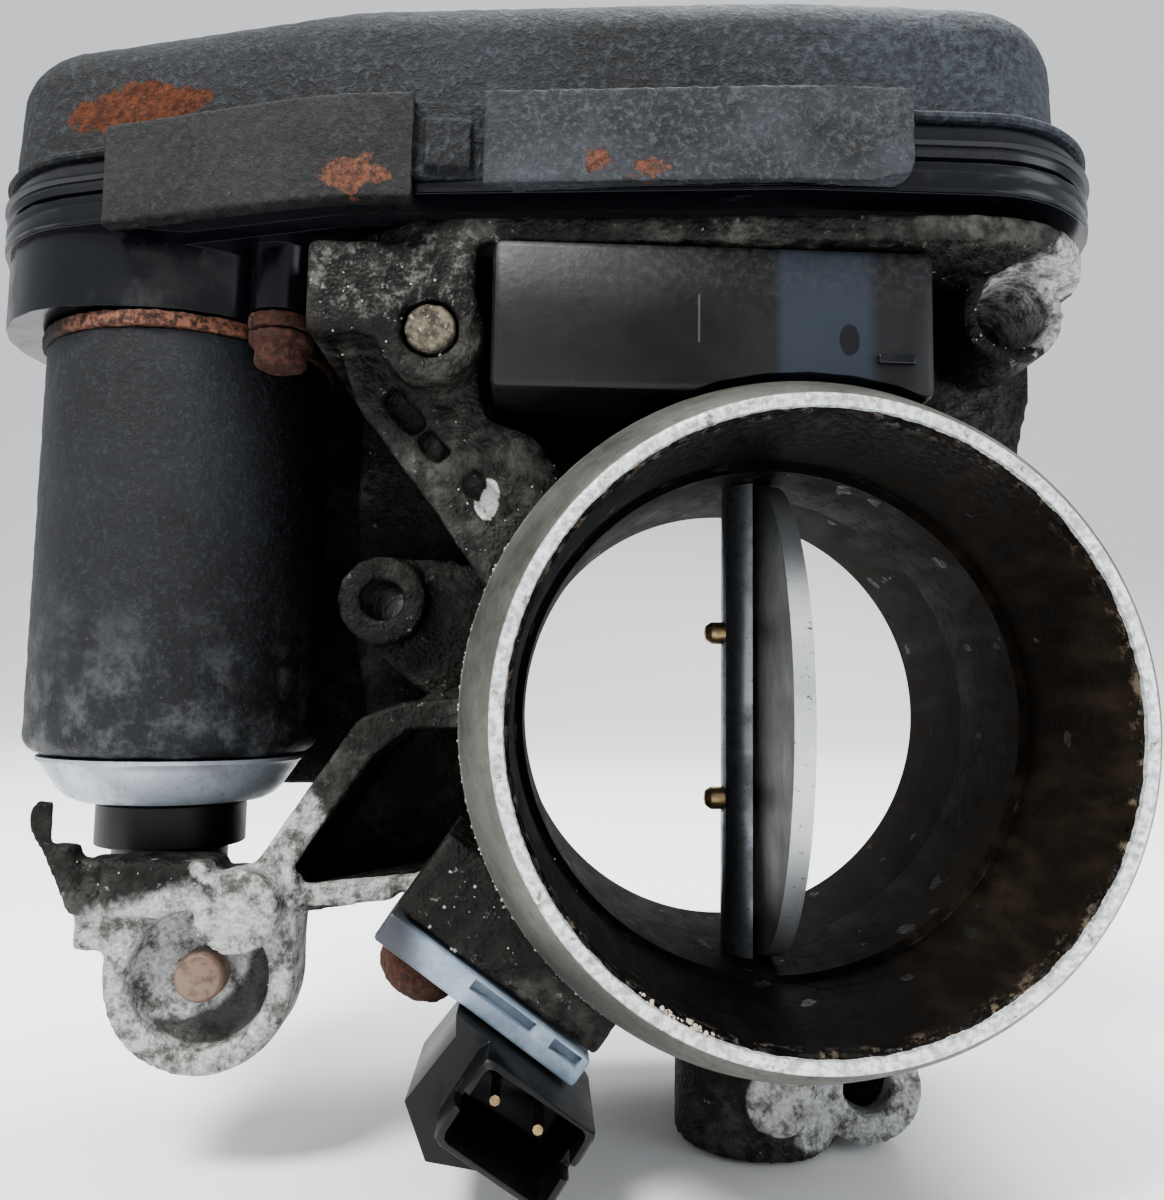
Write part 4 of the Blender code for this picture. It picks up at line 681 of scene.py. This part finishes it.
FINISHES = {
    "cast_aluminium": cast_finish(),
    "machined_aluminium": alloy_finish(),
    "coated_steel": coated_finish(),
    "strap_steel": strap_finish(),
    "black_moulding": gloss_finish(),
    "black_plastic": plastic_finish(),
    "seal_rubber": rubber_finish(),
    "bright_steel": steel_finish(),
    "dark_steel": steel_finish("dark_steel", (0.11, 0.11, 0.115), 0.7),
    "motor_coating": can_finish(),
    "rusty_steel": rust_finish(),
    "brass": brass_finish(),
    "copper": brass_finish("pink_copper", (0.185, 0.125, 0.095), 0.45, 0.1),
    "gear_nylon": nylon_finish(),
    "pale_plastic": pale_plastic_finish(),
    "ferrite": ferrite_finish(),
}
TURNED = machined_finish()
LIP = lip_finish()
SOOT = soot_finish()
BAND = gloss_finish("gloss_band", 0.12)
CHALK = chalk_finish("white_corrosion", (0.12, 0.12, 0.11), (0.50, 0.50, 0.48))
CRUMB = chalk_finish("beige_crumbs", (0.20, 0.16, 0.12), (0.60, 0.54, 0.46))
SCUFF = chalk_finish("pale_scuff", (0.02, 0.02, 0.02), (0.07, 0.07, 0.068))


# Pieces


def paint(obj, finish):
    obj.data.materials.clear()
    obj.data.materials.append(finish)


def new_piece(name, mesh, finish, body="body"):
    obj = bpy.data.objects.new(name, mesh)
    bpy.context.scene.collection.objects.link(obj)
    paint(obj, finish)
    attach(obj, body)
    return obj


def smooth(mesh, angle):
    """Smooth shading, with edges sharper than an angle in degrees kept sharp."""
    mesh.shade_smooth()
    mesh.set_sharp_from_angle(angle=math.radians(angle))


def bevelled(obj, width, segments):
    modifier = obj.modifiers.new("edges", "BEVEL")
    modifier.width = width
    modifier.segments = segments
    modifier.limit_method = "ANGLE"
    modifier.angle_limit = math.radians(30.0)


def welded_copy(node):
    """The node's mesh with its vertices joined and its flat faces made whole."""
    shape = bmesh.new()
    shape.from_mesh(frame["nodes"][node].data)
    bmesh.ops.remove_doubles(shape, verts=shape.verts, dist=2e-6)
    bmesh.ops.dissolve_limit(
        shape, angle_limit=math.radians(0.6), verts=shape.verts, edges=shape.edges
    )
    return mesh_of(shape, node + "_finished")


def dress(node, width, finish=None):
    """Replaces a node by the same shape with rounded edges."""
    mesh = welded_copy(node)
    slot = SLOT_OF[node]
    obj = new_piece(node + "_finished", mesh, finish or FINISHES[slot], BODY_OF[node])
    smooth(mesh, 40.0)
    if width:
        bevelled(obj, width, 2)
    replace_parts(obj, node)
    return obj


def remeshed(obj, voxel, relax):
    """Gives a piece an even mesh of voxels with softened edges, and returns that mesh."""
    finish = obj.data.materials[0]
    modifier = obj.modifiers.new("remesh", "REMESH")
    modifier.mode = "VOXEL"
    modifier.voxel_size = voxel
    modifier = obj.modifiers.new("relax", "SMOOTH")
    modifier.factor = 0.5
    modifier.iterations = relax
    graph = bpy.context.evaluated_depsgraph_get()
    made = bpy.data.meshes.new_from_object(obj.evaluated_get(graph))
    obj.modifiers.clear()
    obj.data = made
    paint(obj, finish)
    made.shade_smooth()
    return made


def cast_skin(node):
    """Replaces a casting by its remeshed shape, with a lumpy skin all over but its turned end."""
    turned_reach, turned_back = 39.2 * MM, -52 * MM
    obj = dress(node, 0)
    made = remeshed(obj, 0.55 * MM, 3)
    count = len(made.vertices)
    places = np.empty(count * 3)
    normals = np.empty(count * 3)
    made.vertices.foreach_get("co", places)
    made.vertices.foreach_get("normal", normals)
    places = places.reshape(-1, 3)
    normals = normals.reshape(-1, 3)
    lumps = np.array([noise.fractal(Vector(p * 220.0), 0.8, 2.1, 4) for p in places])
    machined = (np.hypot(places[:, 0], places[:, 2]) < turned_reach) & (places[:, 1] < turned_back)
    depth = np.where(machined, 0.0, 0.11 * MM)
    places = places + normals * (lumps * depth)[:, None]
    made.vertices.foreach_set("co", places.ravel())
    made.update()


def turned(name, profile, finish, sides=160, body="body"):
    """A ring turned about the bore's axis; the profile holds (radius, y) points in metres."""
    shape = bmesh.new()
    loops = []
    for radius, y in profile:
        loop = []
        for i in range(sides):
            angle = math.tau * i / sides
            loop.append(shape.verts.new((radius * math.cos(angle), y, radius * math.sin(angle))))
        loops.append(loop)
    for first, second in zip(loops, loops[1:] + loops[:1]):
        for i in range(sides):
            shape.faces.new((first[i - 1], first[i], second[i], second[i - 1]))
    bmesh.ops.recalc_face_normals(shape, faces=shape.faces)
    mesh = mesh_of(shape, name)
    smooth(mesh, 28.0)
    return new_piece(name, mesh, finish, body)


def spigot():
    """The turned skins of the bore: outer band, bright lip and sooty inside."""
    y = MOUTH_Y
    band = [
        (34.9 * MM, y + 0.25 * MM),
        (35.66 * MM, y + 1.15 * MM),
        (38.56 * MM, y + 7.9 * MM),
        (38.62 * MM, y + 8.2 * MM),
        (38.62 * MM, y + 9.6 * MM),
        (38.3 * MM, y + 10.2 * MM),
        (37.6 * MM, y + 11.1 * MM),
        (35.6 * MM, y + 13.2 * MM),
        (34.8 * MM, y + 13.0 * MM),
        (34.8 * MM, y + 1.0 * MM),
    ]
    turned("spigot_band", band, TURNED)
    lip = [
        (33.2 * MM, y + 0.75 * MM),
        (33.45 * MM, y - 0.02 * MM),
        (33.75 * MM, y - 0.12 * MM),
        (34.3 * MM, y - 0.12 * MM),
        (34.75 * MM, y + 0.02 * MM),
        (35.0 * MM, y + 0.4 * MM),
        (34.6 * MM, y + 1.0 * MM),
        (33.6 * MM, y + 1.0 * MM),
    ]
    turned("spigot_lip", lip, LIP)
    inside = [
        (33.25 * MM, y + 0.45 * MM),
        (32.88 * MM, y + 1.3 * MM),
        (32.86 * MM, y + 23.6 * MM),
        (32.75 * MM, y + 24.0 * MM),
        (31.88 * MM, y + 25.0 * MM),
        (31.86 * MM, y + 42.6 * MM),
        (31.95 * MM, y + 42.9 * MM),
        (32.86 * MM, y + 43.7 * MM),
        (32.88 * MM, -0.3 * MM),
        (33.2 * MM, -0.3 * MM),
        (33.2 * MM, y + 44.5 * MM),
        (32.3 * MM, y + 42.5 * MM),
        (32.3 * MM, y + 25.5 * MM),
        (33.25 * MM, y + 22 * MM),
    ]
    turned("bore_soot", inside, SOOT)


def tangent_angles(circles):
    """The direction, from each circle, of the straight that leaves it."""
    angles = []
    for (x0, y0, r0), (x1, y1, r1) in zip(circles, circles[1:] + circles[:1]):
        reach = math.hypot(x1 - x0, y1 - y0)
        angles.append(math.atan2(y1 - y0, x1 - x0) - math.acos((r0 - r1) / reach))
    return angles


def outline_points(circles, inset):
    """Points round an outline; every outline here gets the same count at every inset."""
    leaving = tangent_angles(circles)
    shared = tangent_angles(OUTLINE)
    arcs = []
    for i, (x, y, radius) in enumerate(circles):
        sweep = (leaving[i] - leaving[i - 1]) % math.tau
        count = max(1, round(((shared[i] - shared[i - 1]) % math.tau) / ARC_STEP))
        turns = [leaving[i - 1] + sweep * k / count for k in range(count + 1)]
        reach = radius - inset
        arcs.append([Vector((x + reach * math.cos(t), y + reach * math.sin(t))) for t in turns])
    points = []
    for i, arc in enumerate(arcs):
        after = arcs[(i + 1) % len(arcs)][0]
        span = Vector(OUTLINE[(i + 1) % len(OUTLINE)][:2]) - Vector(OUTLINE[i][:2])
        count = max(1, round(span.length / LINE_STEP))
        points += arc
        points += [arc[-1].lerp(after, k / count) for k in range(1, count)]
    return points


def swept(name, loops, finish, closed=True, lumps=0.0):
    """A body swept round the outline; each loop is (circles, inset, height)."""
    shape = bmesh.new()
    rings = []
    for circles, inset, height in loops:
        rings.append([shape.verts.new((*point, height)) for point in outline_points(circles, inset)])
    pairs = list(zip(rings, rings[1:]))
    if closed:
        pairs.append((rings[-1], rings[0]))
    for first, second in pairs:
        for i in range(len(first)):
            shape.faces.new((first[i - 1], first[i], second[i], second[i - 1]))
    if not closed:
        shape.faces.new(rings[0])
        shape.faces.new(rings[-1])
    bmesh.ops.recalc_face_normals(shape, faces=shape.faces)
    mesh = mesh_of(shape, name)
    if lumps:
        lump(mesh, lumps, 1.6 * MM, lambda place: place.z > COVER_LOW.z + 1.6 * MM)
    smooth(mesh, 32.0)
    return new_piece(name, mesh, finish, "body")


def lump(mesh, depth, size, inside=None):
    """Moves the surface in and out by fractal noise."""
    moves = []
    for vertex in mesh.vertices:
        if inside is None or inside(vertex.co):
            moves.append((vertex, vertex.normal * noise.fractal(vertex.co / size, 0.9, 2.1, 3) * depth))
    for vertex, move in moves:
        vertex.co += move
    mesh.update()


def drive_casing():
    """Cover, gasket and tray edge, swept finely round the outline."""
    top = COVER_HIGH.z
    low = COVER_LOW.z
    step = low + 1.1 * MM
    shoulder = 7 * MM
    loops = [
        (DOME, 7.0 * MM, top - 1.5 * MM),
        (DOME, 2.0 * MM, top - shoulder),
        (DOME, 1.8 * MM, low),
        (OUTLINE, 0.3 * MM, low),
        (OUTLINE, 0.0, low + 0.3 * MM),
        (OUTLINE, 0.0, step - 0.35 * MM),
        (OUTLINE, 0.3 * MM, step),
        (DOME, -0.9 * MM, step),
        (DOME, -0.25 * MM, step + 0.2 * MM),
        (DOME, 0.0, step + 0.9 * MM),
    ]
    rise = top - shoulder - step - 0.9 * MM
    loops += [(DOME, 0.5 * MM * k / 9, step + 0.9 * MM + rise * k / 9) for k in range(1, 10)]
    for k in range(1, 13):
        angle = math.pi / 2 * k / 12
        inset = 0.5 * MM + shoulder * (1 - math.cos(angle))
        loops.append((DOME, inset, top - shoulder * (1 - math.sin(angle))))
    loops += [(DOME, 7.5 * MM + 1.0 * MM * k, top) for k in range(1, 6)]
    slot = "coated_steel"
    cover = swept("gear_cover_finished", loops, FINISHES[slot], False, 0.13 * MM)
    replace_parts(cover, "gear_cover")
    gasket_low, gasket_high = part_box("cover_gasket")
    middle = (gasket_low.z + gasket_high.z) / 2
    loops = [
        (OUTLINE, 1.9 * MM, gasket_low.z),
        (OUTLINE, 0.7 * MM, gasket_low.z),
        (OUTLINE, 0.15 * MM, gasket_low.z + 0.3 * MM),
        (OUTLINE, -0.1 * MM, gasket_low.z + 1.0 * MM),
        (OUTLINE, 0.1 * MM, middle - 0.55 * MM),
        (OUTLINE, -0.35 * MM, middle - 0.2 * MM),
        (OUTLINE, -0.35 * MM, middle + 0.1 * MM),
        (OUTLINE, 0.25 * MM, middle + 0.4 * MM),
        (OUTLINE, 0.45 * MM, gasket_high.z - 0.9 * MM),
        (OUTLINE, 0.7 * MM, gasket_high.z),
        (OUTLINE, 1.9 * MM, gasket_high.z),
    ]
    gasket = swept("cover_gasket_finished", loops, BAND)
    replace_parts(gasket, "cover_gasket")
    rim = gasket_low.z - 0.3 * MM
    foot = rim - 3.5 * MM
    loops = [
        (OUTLINE, 1.6 * MM, rim - 0.1 * MM),
        (OUTLINE, 0.25 * MM, rim),
        (OUTLINE, -0.1 * MM, rim - 0.35 * MM),
        (OUTLINE, -0.1 * MM, rim - 1.0 * MM),
        (OUTLINE, 0.1 * MM, rim - 1.4 * MM),
        (OUTLINE, -0.1 * MM, foot + 0.9 * MM),
        (OUTLINE, -0.02 * MM, foot + 0.35 * MM),
        (OUTLINE, 0.4 * MM, foot - 0.05 * MM),
        (OUTLINE, 1.6 * MM, foot - 0.05 * MM),
    ]
    swept("tray_edge", loops, BAND)


def about_motor(name, node, profile, finish):
    """A part of the motor turned finely about its axis; the profile holds (radius, z) points."""
    obj = turned(name, profile, finish, 128, BODY_OF[node])
    for vertex in obj.data.vertices:
        x, y, z = vertex.co
        vertex.co = (MOTOR_XY.x + x, MOTOR_XY.y - z, y)
    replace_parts(obj, node)
    return obj


def motor():
    """The motor's can with its rounded foot, and the end cap with its cone."""
    radius = (CAN_HIGH.x - CAN_LOW.x) / 2
    low, high = CAN_LOW.z, CAN_HIGH.z
    foot = 2.4 * MM
    profile = [(radius - 1.4 * MM, high)]
    profile += [(radius, high - (high - low - foot) * k / 60) for k in range(61)]
    for k in range(1, 9):
        angle = math.pi / 2 * k / 8
        profile.append((radius - foot * (1 - math.cos(angle)), low + foot * (1 - math.sin(angle))))
    profile += [(6 * MM, low), (6 * MM, low + 1.4 * MM), (radius - 1.4 * MM, low + 3 * MM)]
    slot = "motor_coating"
    can = about_motor("motor_can_finished", "motor_can", profile, FINISHES[slot])
    lump(can.data, 0.10 * MM, 2.4 * MM)
    cap_low, cap_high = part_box("motor_end_cap")
    outer = (cap_high.x - cap_low.x) / 2
    profile = [
        (9 * MM, cap_high.z),
        (outer + 0.6 * MM, cap_high.z),
        (outer + 0.6 * MM, cap_high.z - 0.5 * MM),
        (outer, cap_high.z - 0.9 * MM),
        (outer - 0.4 * MM, cap_high.z - 1.6 * MM),
        (outer - 2.0 * MM, cap_low.z + 1.9 * MM),
        (outer - 3.2 * MM, cap_low.z + 0.7 * MM),
        (outer - 4.4 * MM, cap_low.z + 0.1 * MM),
        (outer - 5.2 * MM, cap_low.z),
        (9 * MM, cap_low.z),
    ]
    slot = "machined_aluminium"
    about_motor("motor_end_cap_finished", "motor_end_cap", profile, FINISHES[slot])


def scatter(name, spots, finish):
    """Small lumps merged into one piece; each spot is (place, radius)."""
    shape = bmesh.new()
    for place, radius in spots:
        made = bmesh.ops.create_icosphere(shape, subdivisions=2, radius=radius)["verts"]
        for vertex in made:
            vertex.co *= 1.0 + 0.8 * noise.noise((vertex.co + Vector(place)) * 3400.0)
            vertex.co += Vector(place)
    mesh = mesh_of(shape, name)
    mesh.shade_smooth()
    return new_piece(name, mesh, finish, "body")


def crusts():
    """Corrosion: crumbs on the mouth's chamfer, and the ragged white edge of the bead."""
    chance = np.random.default_rng(SEED)
    spots = []
    for angle in chance.normal(-117.0, 4.5, 70):
        reach = chance.uniform(32.9, 33.9) * MM
        place = (reach * math.cos(math.radians(angle)), MOUTH_Y + chance.uniform(0.1, 1.0) * MM,
                 reach * math.sin(math.radians(angle)))
        spots.append((place, chance.uniform(0.10, 0.32) * MM))
    for angle in chance.uniform(-60.0, 95.0, 34):
        place = (33.7 * MM * math.cos(math.radians(angle)), MOUTH_Y + 0.1 * MM,
                 33.7 * MM * math.sin(math.radians(angle)))
        spots.append((place, chance.uniform(0.07, 0.22) * MM))
    scatter("mouth_crumbs", spots, CRUMB)
    spots = []
    for angle in chance.uniform(148.0, 236.0, 420):
        reach = chance.uniform(38.25, 38.6) * MM
        place = (reach * math.cos(math.radians(angle)), MOUTH_Y + chance.uniform(7.9, 9.4) * MM,
                 reach * math.sin(math.radians(angle)))
        spots.append((place, chance.uniform(0.06, 0.24) * MM))
    scatter("bead_crust", spots, CHALK)


def casting_crust():
    """Pale crumbs of corrosion stuck on the casting, where it faces forward."""
    chance = np.random.default_rng(SEED + 1)
    housing = bpy.data.objects["throttle_housing_finished"].data
    spots = []
    zones = (
        ((-33, -46, -22), (9, 9, 5), 70, 0.32),
        ((-47, -50, 46), (8, 8, 6), 26, 0.28),
        ((-70, -46, -32), (15, 4, 14), 60, 0.22),
        ((-32, -48, 26), (9, 6, 9), 26, 0.22),
        ((30, -48, 52), (8, 6, 6), 26, 0.26),
        ((12, -40, -49), (14, 6, 7), 30, 0.26),
    )
    forward = [v for v in housing.vertices if v.normal.y < -0.2]
    for centre, reach, count, size in zones:
        centre = Vector(centre) * MM
        near = [v for v in forward if all(abs(v.co[i] - centre[i]) < reach[i] * MM for i in range(3))]
        for pick in chance.integers(0, max(1, len(near)), count if near else 0):
            spots.append((near[pick].co[:], chance.uniform(0.2, 0.8) ** 1.5 * size * MM))
    scatter("casting_crumbs", spots, CHALK)


def add_box(shape, *spans):
    """A box between two places on each axis."""
    for vertex in bmesh.ops.create_cube(shape, size=1.0)["verts"]:
        vertex.co = [span[int(vertex.co[axis] > 0)] for axis, span in enumerate(spans)]


def case_details():
    """The raised bar and the seam on the spring case's face."""
    parts = (
        ("case_bar", (7.9, 12.2), (40.4, 41.5), 0.5, FINISHES["black_moulding"]),
        ("case_seam", (-12.65, -12.4), (42.4, 48.0), 0.06, SCUFF),
    )
    for name, (x0, x1), (z0, z1), rise, finish in parts:
        shape = bmesh.new()
        depth = (CASE_FRONT - rise * MM, CASE_FRONT + 0.4 * MM)
        add_box(shape, (x0 * MM, x1 * MM), depth, (z0 * MM, z1 * MM))
        mesh = mesh_of(shape, name)
        obj = new_piece(name, mesh, finish, "body")
        bevelled(obj, rise * 0.45 * MM, 3)
        smooth(mesh, 60.0)


def clip_bridge():
    """The cover's pressed lug between the two front clips."""
    middle = -41.2 * MM
    near = [point for point in outline_points(OUTLINE, 0.0) if abs(point.x - middle) < 1 * MM]
    front = min(point.y for point in near)
    boxes = (
        ((-45.6, -36.9), (60.6, 69.6), 0.5),
        ((-43.9, -38.7), (61.6, 67.4), 1.2),
    )
    shape = bmesh.new()
    for (x0, x1), (z0, z1), rise in boxes:
        depth = (front - rise * MM, front + 2.5 * MM)
        add_box(shape, (x0 * MM, x1 * MM), depth, (z0 * MM, z1 * MM))
    mesh = mesh_of(shape, "clip_bridge")
    obj = new_piece("clip_bridge", mesh, FINISHES["coated_steel"], "body")
    grainy(obj, 0.3 * MM, 0.07 * MM, 1.0 * MM)


def trim_strap(obj):
    """Raises the front right clip's lower edge a little, and rounds off its right corner."""
    foot, fade, corner_width = 1.6 * MM, 3.5 * MM, 3.2 * MM
    rise, corner_rise = 1.3 * MM, 2.4 * MM
    long_edge = 6 * MM
    shape = bmesh.new()
    shape.from_mesh(obj.data)
    low = min(vertex.co.z for vertex in shape.verts)
    right = max(vertex.co.x for vertex in shape.verts)
    edges = [e for e in shape.edges if abs(e.verts[0].co.x - e.verts[1].co.x) > long_edge]
    bmesh.ops.subdivide_edges(shape, edges=edges, cuts=24)
    for vertex in shape.verts:
        near_foot = 1.0 - min(1.0, max(0.0, (vertex.co.z - low - foot) / fade))
        from_right = min(1.0, max(0.0, (right - vertex.co.x) / corner_width))
        corner = 1.0 - math.sqrt(1.0 - (1.0 - from_right) ** 2)
        vertex.co.z += near_foot * (rise + corner_rise * corner)
    shape.to_mesh(obj.data)
    shape.free()


def grainy(obj, voxel, depth, size):
    """Remeshes a piece, softens its edges and gives it a granular skin."""
    lump(remeshed(obj, voxel, 2), depth, size)


def plate_axis():
    """The direction across the throttle plate, in which it is thinnest."""
    vertices = frame["nodes"]["throttle_plate"].data.vertices
    places = np.array([vertex.co for vertex in vertices])
    across = np.linalg.svd(places - places.mean(0), full_matrices=False)[2][2]
    return tuple(float(part) for part in across)


def dress_nodes():
    """Puts the finished pieces in the nodes' place, and paints the nodes that stay."""
    cast_skin("throttle_housing")
    drive_casing()
    motor()
    dress("gear_tray", 0.3 * MM)
    for place in ("front_left", "front_right", "rear_left", "rear_right"):
        node = "cover_clip_" + place
        strap = dress(node, 0)
        if node == "cover_clip_front_right":
            trim_strap(strap)
        grainy(strap, 0.3 * MM, 0.09 * MM, 1.1 * MM)
    clip_bridge()
    case_details()
    crusts()
    casting_crust()
    dress("spring_case", 0.4 * MM)
    dress("throttle_plate", 0.12 * MM, disc_finish(plate_axis()))
    for node in ("motor_nose", "sensor_flange", "sensor_body", "throttle_shaft", "plate_screw_upper",
                 "plate_screw_lower", "bracket_rivet", "shaft_end_plug"):
        dress(node, 0.15 * MM)
    for node in ("motor_flange", "motor_screw_front", "motor_screw_rear", "sensor_screw"):
        grainy(dress(node, 0), 0.28 * MM, 0.16 * MM, 1.2 * MM)
    grainy(dress("housing_bolt", 0, finish=bolt_finish()), 0.25 * MM, 0.12 * MM, 1.0 * MM)
    replaced = set()
    for obj in bpy.data.objects:
        replaced.update(obj.get("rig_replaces", []))
    for node, obj in frame["nodes"].items():
        if node not in replaced:
            paint(obj, FINISHES[SLOT_OF[node]])


make_stage()
make_camera()
spigot()
dress_nodes()
